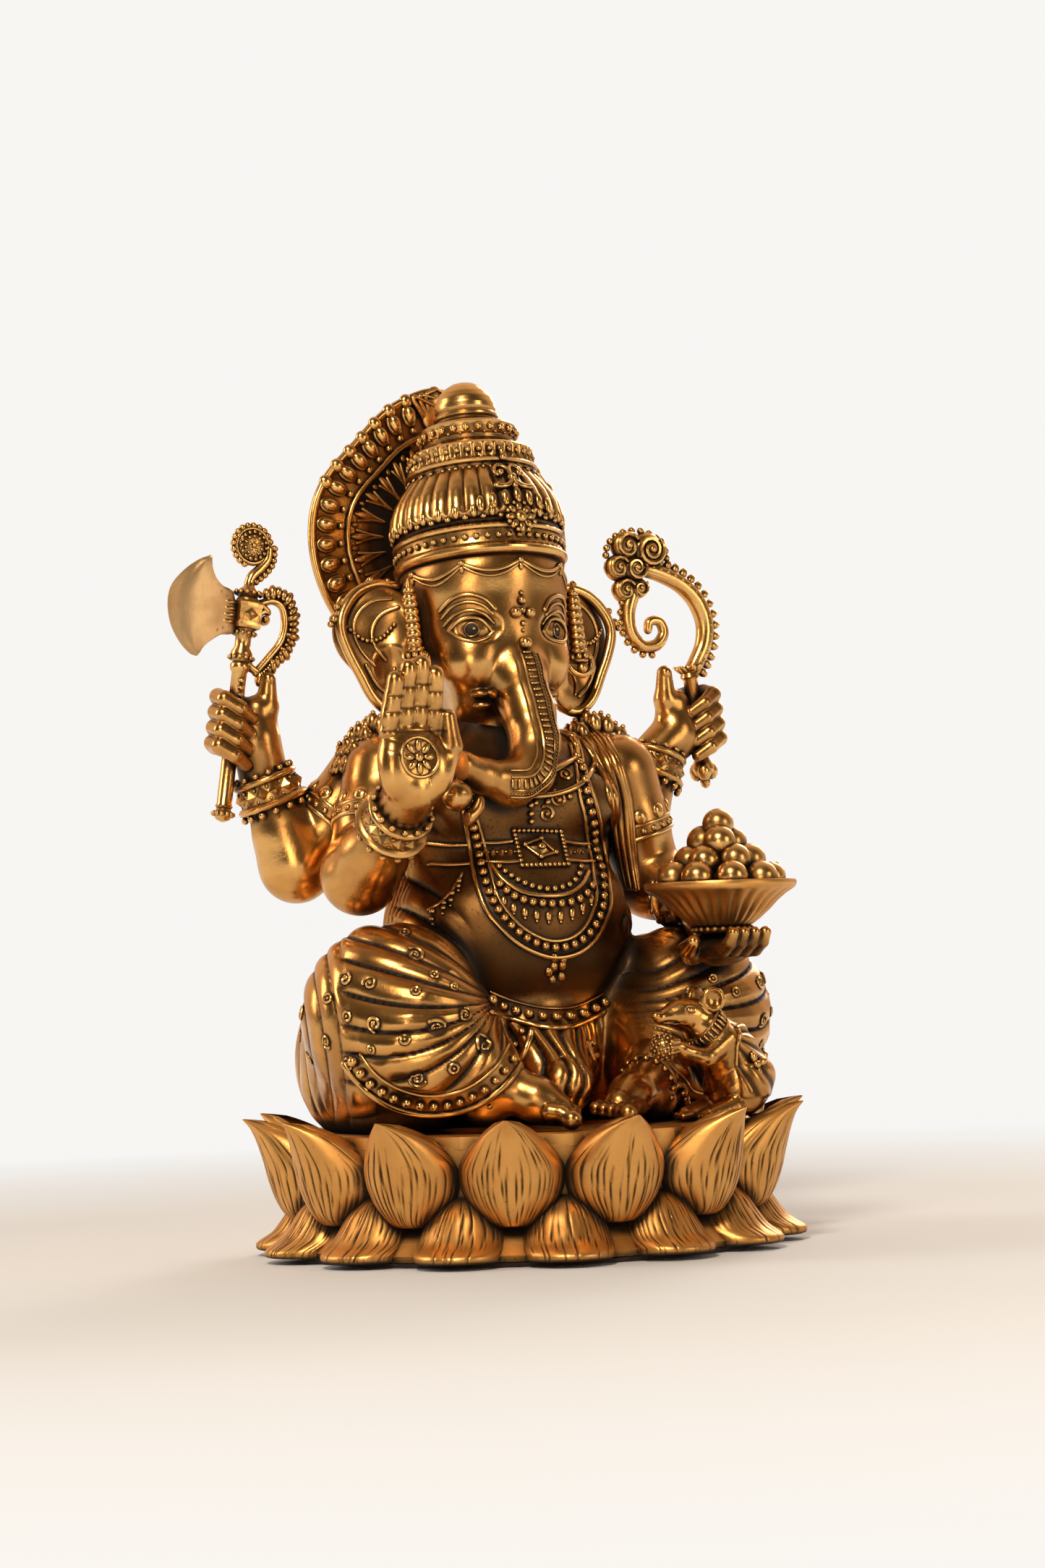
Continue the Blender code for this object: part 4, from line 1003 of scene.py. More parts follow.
def build_crown():
    trim = Trim()
    place = crown_place()

    def at(radius, angle, z):
        """A place round the crown; angle in degrees from the front."""
        a = math.radians(angle)
        return place[:3, 3] + LEAN @ np.array((radius * math.sin(a), -radius * math.cos(a), z))

    def facing(angle, tilt=0.0):
        """Axes at that angle: sideways, up and outwards."""
        a, t = math.radians(angle), math.radians(tilt)
        side = np.array((math.cos(a), math.sin(a), 0))
        out = np.array((math.sin(a) * math.cos(t), -math.cos(a) * math.cos(t), math.sin(t)))
        return LEAN @ np.stack([side, np.cross(out, side), out], 1)

    band = [(26, -1.2), (29.2, -0.8), (30.2, 0.3), (30.3, 1.3), (29.6, 2.2), (29.0, 2.6), (28.7, 4.8), (28.9, 7.2), (29.7, 7.6), (30.0, 8.4), (29.4, 9.3), (27.6, 9.8), (27.0, 10.6), (27.4, 11.4)]
    flutes = [(29.0, 12.0), (29.9, 13.6), (29.8, 16), (29.2, 19), (27.8, 22.5), (25.6, 26), (23.2, 29), (21.6, 31.2)]
    tiers = [
        (21.9, 31.9), (22.9, 32.5), (23.1, 33.2), (22.5, 33.9), (21.3, 34.3), (21.2, 36.5), (21.6, 38.6), (21.9, 39.4), (21.2, 40.2),
        (19.2, 40.9), (17.2, 41.4), (16.2, 42.1), (15.4, 43.0), (15.6, 44.2), (16.5, 44.8), (16.5, 47.4), (16.8, 48.4), (16.2, 49.2),
        (14.0, 49.9), (12.2, 50.4), (10.9, 51.2), (10.6, 52.0), (11.2, 52.6), (11.3, 53.3), (10.6, 53.9), (10.2, 54.6),
        (10.6, 55.6), (10.7, 57.2), (10.1, 59.4), (8.8, 61.6), (6.9, 63.6), (4.4, 65.1), (2.0, 65.8), (0.05, 66.0),
    ]
    profile = np.array(band + flutes + tiers)
    low, high = len(band), len(band) + len(flutes)
    fine = []
    for a, b in zip(profile, profile[1:]):
        steps = 4
        fine += [tuple(a + (b - a) * s / steps) for s in range(steps)]
    fine.append(tuple(profile[-1]))
    heights = np.array([z for _, z in fine])

    def ripple(angle, share):
        z = np.interp(share, np.linspace(0, 1, len(heights)), heights)
        flute = smooth_step(z, 12.5, 14.5) * (1 - smooth_step(z, 30.2, 31.4))
        scallop = smooth_step(z, 34.2, 35) * (1 - smooth_step(z, 38.5, 39.6))
        ring = np.abs(np.cos(angle * 15 + math.pi / 2 * 0))
        return 1 + flute * (0.052 * ring**0.7 - 0.035) + scallop * 0.018 * np.cos(angle * 34)

    trim.turned(fine, 360, place, ripple)
    for index in range(48):
        trim.bead(at(29.1, index * 7.5, 5.0), 1.12)
    for index in range(30):
        angle = (index + 0.5) * 12
        trim.bead(at(29.5, angle, 13.8), (1.35, 2.6, 1.3), facing(angle))
        trim.bead(at(29.4, angle + 6, 11.6), (1.2, 0.95, 1.0), facing(angle + 6))
        trim.bead(at(22.6, angle, 30.6), (0.8, 1.2, 0.7), facing(angle, 40), detail=1)
    for index in range(36):
        trim.bead(at(21.5, index * 10, 37.0), 1.02)
    for index in range(24):
        trim.bead(at(16.8, index * 15, 46.2), 1.3)
        trim.bead(at(16.2, index * 15 + 7.5, 44.6), 0.7, detail=1)

    for index in range(8):
        angle = index * math.pi / 4
        turn = facing(0, 8) @ np.array(Matrix.Rotation(angle, 3, "Z"))
        trim.bead(at(31.0, 0, 10.6) + facing(0, 8) @ np.array((3.6 * math.cos(angle), 3.6 * math.sin(angle), 0)), (2.0, 1.35, 1.0), turn)
        trim.bead(at(31.6, 0, 10.6) + facing(0, 8) @ np.array((5.2 * math.cos(angle + 0.39), 5.2 * math.sin(angle + 0.39), 0)), 0.75)
    trim.bead(at(31.2, 0, 10.6), (2.3, 2.3, 1.7), facing(0, 8), detail=3)
    for step in range(-3, 4):
        trim.bead(at(30.4, step * 8.4, 18.4 - abs(step) * 0.9), (1.5, 3.0, 1.2), facing(step * 8.4, 6))
        trim.bead(at(30.9, step * 8.4, 16.4 - abs(step) * 0.9), 1.0)
    for side in (-1, 1):
        scroll = []
        for step in range(34):
            share = step / 33
            angle = math.radians(-60 - 330 * share) if side > 0 else math.radians(240 + 330 * share)
            reach = 5.2 * (1 - 0.72 * share)
            x = side * 3.6 + reach * math.cos(angle)
            z = 27.0 + reach * 1.15 * math.sin(angle)
            scroll.append(at(np.interp(z, (20, 26, 32), (30.6, 27.4, 22.8)), x * 2.1, z))
        trim.tube(smooth_line(scroll), np.linspace(1.0, 0.6, 34), sides=8)
        trim.bead(at(26.6, side * 7.5, 27), 1.3)
        trim.bead(at(29.3, side * 24, 15.4), 1.3)
    trim.bead(at(23.4, 0, 33.2), 1.4)
    trim.bead(at(22.6, 0, 35.4), (0.9, 1.6, 0.9), facing(0))
    trim.bead(at(28.0, 0, 25.0), 1.7)
    trim.bead(at(29.4, 0, 21.8), 1.2)
    trim.piece("crown_tiers", brass_relief, "crown")


HALO_CENTRE = np.array((0.0, 51.8, 248.0))


def halo_reach(angle):
    """The halo's outline as a share of its radius: slimmer shoulders and a point at the top."""
    from_top = np.abs(angle - math.pi / 2)
    return 1 - 0.10 * np.exp(-(((from_top - 0.78) / 0.42) ** 2)) + 0.03 * np.exp(-((from_top / 0.18) ** 2))


def build_halo():
    trim = Trim()
    radius = 51.3
    place = np.eye(4)
    place[:3, :3] = np.array(((1, 0, 0), (0, 0, -1), (0, 1, 0)))
    place[:3, 3] = HALO_CENTRE

    def at(share, angle, front):
        reach = radius * share * halo_reach(angle)
        return HALO_CENTRE + np.array((reach * math.cos(angle), -front, reach * math.sin(angle)))

    profile = [
        (0.02, -3.2), (0.74, -3.2), (0.80, -2.8), (0.92, 0.2), (0.985, 2.2), (1.0, 3.4), (1.0, 4.3), (0.992, 5.0), (0.975, 5.2),
        (0.955, 4.8), (0.945, 4.3), (0.935, 3.9), (0.78, 3.4), (0.725, 3.2), (0.70, 3.2), (0.69, 3.4), (0.665, 1.2), (0.655, 0.2), (0.40, 0.0), (0.02, 0.0),
    ]
    def outline(angle, share):
        return halo_reach(np.mod(angle, 2 * math.pi)) + 0 * share
    trim.turned([(r * radius, z) for r, z in profile], 240, place, outline)
    away = trim.points[-1] - HALO_CENTRE
    # The front of the inner plate, inside the ring, is darkened
    trim.darkening[-1] = 0.85 * (np.hypot(away[:, 0], away[:, 2]) < radius * 0.64) * (away[:, 1] < 0.5)
    for share, thick in ((0.60, 0.9), (0.86, 1.1)):
        back = [at(share, a, -3.3 + 2.0 * max(0, share - 0.74)) for a in np.linspace(0, 2 * math.pi, 240, endpoint=False)]
        trim.tube(back, thick, sides=8, closed=True)
    for index in range(32):
        angle = 2 * math.pi * index / 32
        way = np.stack([np.array((math.cos(angle), 0, math.sin(angle))), np.array((-math.sin(angle), 0, math.cos(angle))), np.array((0, -1.0, 0))], 1)
        trim.bead(at(0.40, angle, -3.0), (8.0, 1.7, 1.3), way)
        trim.bead(at(0.73, angle, -3.1), (4.2, 2.6, 1.2), way)
        trim.bead(at(0.55, angle + 0.098, -3.2), 1.2, detail=1)
    ring = [at(0.700, a, 3.7) for a in np.linspace(0, 2 * math.pi, 240, endpoint=False)]
    trim.tube(ring, 1.0, sides=10, closed=True)
    count = 40
    for index in range(count):
        angle = 2 * math.pi * (index + 0.5) / count
        near_top = abs(angle - math.pi / 2) < 0.1
        if not near_top:
            out = np.array((math.cos(angle), 0, math.sin(angle)))
            along = np.array((-math.sin(angle), 0, math.cos(angle)))
            turn = np.stack([out, along, np.array((0, -1, 0))], 1)
            trim.bead(at(0.868, angle, 4.4), (3.5, 2.3, 2.3), turn, detail=3)
            trim.bead(at(0.866, angle, 3.9), (4.2, 3.05, 1.3), turn, detail=3)
        trim.bead(at(0.758, angle, 4.3), 1.25)
        if math.sin(angle) > 0.3 and not near_top:
            trim.bead(at(0.965, angle, 4.3), (2.6, 2.5, 1.9), turn, detail=3)
    for index in range(24):
        angle = 2 * math.pi * index / 24
        out = np.array((math.cos(angle), 0, math.sin(angle)))
        along = np.array((-math.sin(angle), 0, math.cos(angle)))
        turn = np.stack([out, along, np.array((0, -1, 0))], 1)
        trim.bead(at(0.57, angle, 0.3), (4.6, 1.25, 1.1), turn)
        trim.bead(at(0.62, angle + 0.13, 0.2), (1.6, 0.9, 0.8), turn)
        for fork in (-1, 1):
            path = [at(0.40, angle, 0.3), at(0.50, angle + fork * 0.03, 0.5), at(0.60, angle + fork * 0.075, 0.4)]
            trim.tube(spline(path, 1.2), 0.5, sides=6)
    top = math.pi / 2
    for lift, wide, tall in ((0.94, 4.2, 6.4), (0.86, 5.6, 6.0)):
        turn = np.stack([np.array((1, 0, 0)), np.array((0, 0, 1)), np.array((0, -1, 0))], 1)
        trim.bead(at(lift - 0.05, top, 4.6), (wide, tall, 1.7), turn, detail=3)
    for side in (-1, 1):
        for index in range(3):
            start = at(0.82, top + side * (0.05 + 0.03 * index), 4.4)
            path = [start, start + np.array((side * (-2.2 - 1.2 * index), -1.4, 6.5)), np.array((side * -0.4, HALO_CENTRE[1] - 6, HALO_CENTRE[2] + 51.8 - 3 * index))]
            trim.tube(spline(path, 0.9), np.linspace(1.3, 0.5, len(spline(path, 0.9))), sides=8)
    trim.piece("halo_plate", brass_relief, "halo")


def build_head():
    head = carve_head()
    dress_face(head)
    finish_skin("head_and_trunk", head, brass, "head")
    build_ears()
    build_tassels()
    build_crown()
    build_halo()
    sweet = Trim()
    sweet.bead(TRUNK_SWEET, SWEET_RADIUS + 0.4, detail=4)
    sweet.tube([TRUNK_SWEET + np.array((-4.6, -3.0, 0.4)), TRUNK_SWEET + np.array((0, -5.4, 0.2)), TRUNK_SWEET + np.array((4.6, -3.0, 0.4))], 0.35, sides=6)
    sweet.piece("trunk_laddu", brass_relief, "trunk_sweet")


# Arms, hands and feet

RIGHT_FRONT = [((-46, 8, 162), 13.5), ((-61, -3, 129), 11.8), ((-61, -34, 148), 8.2)]
RIGHT_BACK = [((-44, 24, 162), 13.5), ((-68, 31, 134), 11.4), ((-78.5, 33, 163), 8.2)]
LEFT_FRONT = [((46, 8, 162), 13.5), ((58, 8, 124), 11.2), ((61, -17, 116), 8.2)]
LEFT_BACK = [((44, 24, 162), 13.5), ((63, 31, 131), 11), ((77, 33, 170), 8.2)]
AXE_FOOT, AXE_TOP = np.array((-93.5, 32, 157)), np.array((-81.5, 32, 229))
GOAD_FOOT, GOAD_TOP = np.array((96, 32, 167)), np.array((92, 32, 198))
BOWL_CENTRE = np.array((52.0, -47.0, 104.5))
SHAFT_RADIUS = 2.6


def along_frame(origin, direction, towards=(0, -1, 0)):
    """A 4 x 4 place with z along the direction and -y towards the given side."""
    z = unit(direction)
    y = -unit(np.array(towards, float) - z * (np.array(towards, float) @ z))
    place = np.eye(4)
    place[:3, :3] = np.stack([np.cross(y, z), y, z], 1)
    place[:3, 3] = origin
    return place


def put(place, point):
    return place[:3, 3] + place[:3, :3] @ np.asarray(point, float)


def build_arm(name, arm):
    (shoulder, _), (elbow, thick), (wrist, thin) = [(np.array(p, float), r) for p, r in arm]
    upper, fore = elbow - shoulder, wrist - elbow
    low = np.minimum(np.minimum(shoulder, elbow), wrist) - 18
    high = np.maximum(np.maximum(shoulder, elbow), wrist) + 18
    clay = Clay(low, high, 0.5)
    clay.limb([(shoulder, 13.5), (shoulder + upper * 0.45, 12.4), (elbow, thick), (elbow + fore * 0.3, thick * 0.98), (wrist, thin)], blend=3)
    clay.ball(elbow + unit(upper) * 1.5 - unit(fore) * 1.0, thick * 0.96, blend=6)
    skin = clay.skin()
    finish_skin(f"{name}_arm_skin", skin, brass, f"{name}_arm")

    place = along_frame(wrist, fore)
    slope = (thick - thin) / np.linalg.norm(fore)
    top, foot = thin + 2.5, thin + 2.9 + 9 * slope
    ring = Trim()
    profile = [
        (thin, 0.8), (top - 0.6, 0.8), (top + 0.5, 0.1), (top + 0.7, -0.7), (top + 0.2, -1.5), (top - 0.6, -1.9), (foot - 1.2, -7.5),
        (foot - 0.1, -7.9), (foot + 0.6, -8.8), (foot + 0.3, -9.8), (foot - 0.8, -10.3), (thin + 1.5, -10.5),
    ]
    ring.turned(profile[::-1], 64, place)
    for index in range(14):
        angle = 2 * math.pi * index / 14
        out = np.array((math.cos(angle), math.sin(angle), 0))
        turn = place[:3, :3] @ np.stack([np.array((-out[1], out[0], 0)), np.array((0, 0, 1.0)), out], 1)
        ring.diamond(put(place, out * ((top + foot) / 2 - 1.0) + np.array((0, 0, -4.7))), (2.35, 2.7, 1.7), turn)
        half = angle + math.pi / 14
        side_out = np.array((math.cos(half), math.sin(half), 0))
        for level in (-2.7, -6.9):
            ring.bead(put(place, side_out * ((top + foot) / 2 - 0.9) + np.array((0, 0, level))), 0.75, detail=1)
        ring.bead(put(place, out * (top - 0.6) + np.array((0, 0, 1.5))), 1.1)
        ring.bead(put(place, side_out * (foot - 0.5) + np.array((0, 0, -11.4))), 1.25)
    ring.piece(f"{name}_bangle", brass_relief, f"{name}_bracelet")

    # Armlet: a beaded band with a leaf crest
    armlet = Trim()
    place = along_frame(shoulder + upper * 0.52, -upper)
    for level, thick_ring in ((-2.2, 0.9), (2.2, 0.9)):
        circle = [put(place, (12.6 * math.cos(a), 12.6 * math.sin(a), level)) for a in np.linspace(0, 2 * math.pi, 48, endpoint=False)]
        armlet.tube(circle, thick_ring, sides=8, closed=True)
    for index in range(20):
        angle = 2 * math.pi * index / 20
        armlet.bead(put(place, (12.5 * math.cos(angle), 12.5 * math.sin(angle), 0)), 1.3)
    for index in range(10):
        angle = 2 * math.pi * index / 10
        out = np.array((math.cos(angle), math.sin(angle), 0))
        turn = place[:3, :3] @ np.stack([np.array((-out[1], out[0], 0)), np.array((0, 0, 1.0)), out], 1)
        armlet.bead(put(place, out * 12.8 + np.array((0, 0, 5.0))), (2.7, 2.9, 1.3), turn)
        armlet.bead(put(place, out * 13.4 + np.array((0, 0, 5.2))), 0.9, detail=1)
    armlet.piece(f"{name}_armlet", brass_relief)
    return skin


def shoulder_frills():
    """Overlapping leafy lobes that hang over each shoulder."""
    frill = Trim()
    for side in (-1, 1):
        centre = np.array((side * 43.0, 16.0, 161.0))
        for tier, (tilt, count, size) in enumerate(((62, 9, 3.4), (40, 13, 3.6), (18, 15, 3.4))):
            for index in range(count):
                around = math.radians(-100 + 200 * index / (count - 1))
                rise = math.radians(tilt)
                out = np.array((side * math.cos(around) * math.cos(rise), -math.sin(around) * math.cos(rise), math.sin(rise)))
                along = unit(np.cross(out, (0, 0, 1)))
                down = unit(np.cross(along, out))
                turn = np.stack([along, down, out], 1)
                spot = centre + out * (15.6 + 0.5 * tier)
                frill.bead(spot, (size * 0.62, size, 1.3), turn)
                frill.bead(spot + down * size * 0.6 * (-1 if down[2] > 0 else 1) + out * 0.7, 1.0, detail=1)
                for fork in (-1, 1):
                    path = [spot - along * fork * 0.3 * size + out * 0.9, spot + along * fork * 0.42 * size + out * 0.6]
                    frill.tube(path, 0.45, sides=5)
        for x, top, lean_out in ((35, 183.5, -14), (39.5, 187, -6), (44.5, 186, 4), (49.5, 182.5, 16), (53.5, 178, 28)):
            turn = np.array(Matrix.Rotation(math.radians(side * lean_out), 3, "Y"))
            for row, y in enumerate((11.5, 16.5, 21.5)):
                spot = np.array((side * x, y, top - 6.2 - abs(row - 1) * 1.6))
                frill.bead(spot, (2.5, 2.3, 4.2), turn)
                frill.bead(spot + turn @ np.array((0, -0.6, 3.9)), 1.0, detail=1)
    frill.piece("shoulder_frills", brass_relief)


def finger(clay, points, radii, blend=0.7):
    clay.limb(list(zip(points, radii)), blend=blend)


def build_open_hand():
    clay = Clay((-82, -56, 142), (-40, -22, 200), 0.36)
    wrist = np.array(RIGHT_FRONT[2][0], float)
    clay.limb([(wrist - np.array((0, -3, 2)), 8.2), ((-61, -40.5, 154), 8.8)], blend=4)
    clay.ball((-61, -43, 164.5), (12.2, 5.6, 13.5), blend=5)
    clay.ball((-53.5, -45.5, 160.5), (5.4, 4.6, 8.5), blend=3)
    clay.ball((-68.6, -45.2, 161), (4.6, 4.0, 9), blend=3)
    tips = (192, 196.2, 197.6, 194)
    creases = []
    for step, tip in enumerate(tips):
        root = np.array((-69.6 + 5.35 * step, -43.4, 173))
        end = np.array((-67.6 + 4.75 * step, -46.2, tip - 2.6))
        mid = (root + end) / 2 + np.array((0, 0.6, 0))
        finger(clay, (root, mid, end), (3.1, 2.95, 2.6), 0.5)
        for share, size in ((0.16, 2.6), (0.48, 2.4), (0.8, 2.2)):
            clay.ball(root + (end - root) * share + np.array((0, -1.0, 2.6)), (size, 2.0, 3.6), blend=2.0)
        creases += [root + (end - root) * share for share in (0.0, 0.36, 0.68)]
    finger(clay, ((-52.5, -44.5, 158), (-48.2, -46, 168), (-49.2, -46.4, 177.5)), (4.6, 3.6, 2.7), 1.2)
    clay.cut((0, -30.5, 0), (0, 1, -0.6))
    skin = clay.skin()
    front = smooth_step(-skin.normals()[:, 1], 0.15, 0.5)
    groove = np.zeros(len(skin.points))
    for place in creases:
        near = (np.abs(skin.points[:, 0] - place[0]) < 2.7) & (skin.points[:, 1] < place[1] + 1)
        groove = np.maximum(groove, near * np.exp(-(((skin.points[:, 2] - place[2]) / 0.42) ** 2)))
    for curve in (
        [(-71, 170.5), (-64, 168.5), (-57, 171.5), (-54, 173)], [(-71.5, 166.5), (-64, 164.5), (-58, 166), (-54.5, 170)],
        [(-56.5, 170), (-58.5, 163), (-58, 156)],
    ):
        for x, _, z in spline([(x, 0, z) for x, z in curve], 0.4):
            near = np.hypot(skin.points[:, 0] - x, skin.points[:, 2] - z)
            groove = np.maximum(groove, 0.5 * np.exp(-((near / 0.45) ** 2)))
    skin.raise_by(-0.22 * groove * front, groove * front * 0.5)
    finish_skin("raised_open_hand", skin, brass, "right_front_hand")

    # A plain eight-petal rosette fills the palm
    rosette = Trim()
    centre = skin.hit((-61.5, -150, 164.5), (0, 1, 0))[0]
    turn = np.stack([np.array((1.0, 0, 0)), np.array((0, 0, 1.0)), np.array((0, -1.0, 0))], 1)
    circle = []
    for angle in np.linspace(0, 2 * math.pi, 40, endpoint=False):
        circle.append(skin.hit((-61.5 + 6.6 * math.cos(angle), -150, 164.5 + 6.6 * math.sin(angle)), (0, 1, 0))[0])
    rosette.tube(smooth_closed(circle), 0.65, sides=8, closed=True)
    for index in range(8):
        angle = math.pi / 4 * index
        spot = skin.hit((-61.5 + 3.7 * math.cos(angle), -150, 164.5 + 3.7 * math.sin(angle)), (0, 1, 0))[0]
        spin = turn @ np.array(Matrix.Rotation(angle, 3, "Z"))
        rosette.bead(spot, (2.3, 1.2, 0.8), spin)
    rosette.bead(centre, (1.7, 1.7, 1.3), turn, detail=3)
    rosette.piece("palm_rosette", brass_relief)


def smooth_closed(path, rounds=3):
    path = np.array(path)
    for _ in range(rounds):
        path = (np.roll(path, 1, 0) + 2 * path + np.roll(path, -1, 0)) / 4
    return path


def build_fist(name, node, arm, foot, top, shaft_at, thumb_tip, curl):
    """A hand closed round a shaft, with its thumb held up."""
    along = unit(top - foot)
    centre = foot + along * shaft_at
    wrist = np.array(arm[2][0], float)
    towards = wrist - centre
    towards = unit(towards - along * (towards @ along))
    clay = Clay(centre - 24, centre + 24, 0.36)
    clay.limb([(wrist, 8.4), (centre + towards * 9.5 - along * 3, 8.3)], blend=4)
    clay.limb([(centre + towards * 9 - along * 6, 6.8), (centre + towards * 8.5 + along * 7, 5.8)], blend=3)
    for step in range(4):
        level = centre + along * (-8.2 + 5.3 * step)
        points, radii = [], []
        for turn in range(7):
            spin = np.array(Matrix.Rotation(math.radians(curl * (10 + 50 * turn)), 3, Vector(along)))
            reach = SHAFT_RADIUS + (3.4, 3.6, 4.6, 3.7, 4.6, 3.5, 3.9)[turn]
            points.append(level + spin @ towards * reach + along * (0.6, 1.4, 2.4, 2.2, 0.9, -1.6, -4.2)[turn])
            radii.append((3.2, 3.2, 3.1, 2.8, 2.9, 2.6, 2.2)[turn])
        finger(clay, points, radii, 0.5)
    thumb = np.array(thumb_tip, float)
    base = centre + towards * 11
    finger(clay, (base - along * 3, base + (thumb - base) * 0.5 + towards * 0.8, thumb), (5.0, 3.9, 2.7), 1.6)
    clay.limb([(foot - along * 10, SHAFT_RADIUS + 0.15), (top + along * 10, SHAFT_RADIUS + 0.15)], blend=0.3, carve=True)
    arm_way = unit(wrist - np.array(arm[1][0], float))
    clay.cut(wrist - arm_way * 2.0, -arm_way)
    skin = clay.skin()
    nail = np.linalg.norm(skin.points - (thumb + np.array((0, -2.0, 0.4))), axis=1)
    skin.raise_by(0.25 * np.exp(-((nail / 1.7) ** 4)), 0.35 * np.exp(-(((nail - 2.0) / 0.4) ** 2)))
    finish_skin(name, skin, brass, node)


def build_bowl_hand():
    clay = Clay((34, -74, 90), (74, -12, 124), 0.4)
    clay.limb([((61, -17, 116), 8.2), ((60, -27, 108.5), 8), ((55, -38, 101), 7)], blend=4)
    clay.ball((51.5, -46, 98.8), (10, 12, 5.2), blend=4)
    for step in range(4):
        root = np.array((43.6 + 4.2 * step, -54, 98.8))
        points = (root, root + np.array((0.3, -6, 0.2)), root + np.array((0.5, -10.4, 2.6)), root + np.array((0.5, -12.6, 5.6)))
        finger(clay, points, (2.75, 2.55, 2.3, 2.0), 0.5)
    finger(clay, ((43, -42, 98), (37.5, -48, 99.5), (36.5, -53.5, 102)), (4.0, 3.0, 2.3), 1.0)
    clay.ball(BOWL_CENTRE + np.array((0, 0, 14.5)), (22.5, 22.5, 14.8), blend=0.3, carve=True)
    clay.cut((61, -17, 116), (0.1, 0.9, 0.35))
    hand = clay.skin()
    # Painted shade on the fingers under the bowl
    stain_or_shade(hand, np.array((50, -58, 97)), 13, 0.42)
    finish_skin("hand_under_bowl", hand, brass, "left_front_hand")


def build_feet():
    for side, name, ankle, heel, toe in (
        (-1, "right", (-34, -44, 57.5), (-37, -40, 53), (-17.5, -61, 48.2)),
        (1, "left", (28, -36, 55.5), (30, -34, 51), (3.5, -53, 48.4)),
    ):
        ankle, heel, toe = (np.array(p, float) for p in (ankle, heel, toe))
        clay = Clay(np.minimum(ankle, toe) - 13, np.maximum(ankle, toe) + 13, 0.36)
        run = toe - ankle
        across = unit(np.cross((0, 0, 1), run))
        clay.limb([(heel, 9.0), (ankle, 8.6), (ankle + run * 0.55, 7.0), (ankle + run * 0.82 - np.array((0, 0, 0.4)), 5.2)], blend=3)
        inner = across * (-side)
        for index in range(5):
            offset = (index - 2) * 3.25
            size = (3.1, 2.4, 2.25, 2.15, 2.0)[index]
            root = ankle + run * 0.80 + inner * offset * 0.95 - np.array((0, 0, 1.4))
            tip = toe + inner * offset * 1.0 + unit(run) * (2.2 - 0.75 * index) - np.array((0, 0, 1.2 - 0.25 * index))
            middle = (root + tip) / 2 + np.array((0, 0, 0.9))
            finger(clay, (root, middle, tip), (size, size * 0.86, size * 0.92), 0.35)
            clay.ball(tip + unit(run) * 0.4, size * 1.1, blend=0.4)
        clay.cut((0, 0, 42.3), (0, 0, -1))
        skin = clay.skin()
        anklet = Trim()
        finish_skin(f"{name}_bare_foot", skin, brass, f"{name}_foot")
        place = along_frame(ankle + run * 0.02, -run + np.array((0, 0, 4.0)))
        for level in (0.4, 3.2):
            circle = [put(place, (9.4 * math.cos(a), 9.4 * math.sin(a), level)) for a in np.linspace(0, 2 * math.pi, 40, endpoint=False)]
            anklet.tube(circle, 0.7, sides=8, closed=True)
        for index in range(16):
            angle = 2 * math.pi * index / 16
            anklet.bead(put(place, (9.5 * math.cos(angle), 9.5 * math.sin(angle), -1.6)), 1.15)
        anklet.piece(f"{name}_anklet", brass_relief)


def build_limbs(body):
    build_arm("right_front", RIGHT_FRONT)
    build_arm("right_back", RIGHT_BACK)
    build_arm("left_back", LEFT_BACK)
    sleeve = build_arm("left_front", LEFT_FRONT)
    build_shawl(body, sleeve)
    shoulder_frills()
    build_open_hand()
    build_fist("fist_on_axe", "right_back_hand", RIGHT_BACK, AXE_FOOT, AXE_TOP, 23, (-77, 30, 196), 1)
    build_fist("fist_on_goad", "left_back_hand", LEFT_BACK, GOAD_FOOT, GOAD_TOP, 15, (80, 30, 199), -1)
    build_bowl_hand()
    build_feet()


# What the figure holds, and the mouse

def front_spiral(trim, centre, reach, turns, thick, hand=1, start=0.0, depth=-1):
    """A curl in the x-z plane, standing a little forward at its middle."""
    t = np.linspace(0, 1, int(14 * turns))
    angle = start + hand * 2 * math.pi * turns * t
    size = reach * (1 - 0.85 * t)
    path = np.stack([centre[0] + size * np.cos(angle), centre[1] + depth * thick * t, centre[2] + size * np.sin(angle)], 1)
    trim.tube(path, thick * (1 - 0.25 * t), sides=7)
    trim.bead(centre + np.array((0, depth * thick, 0)), thick * 1.25)


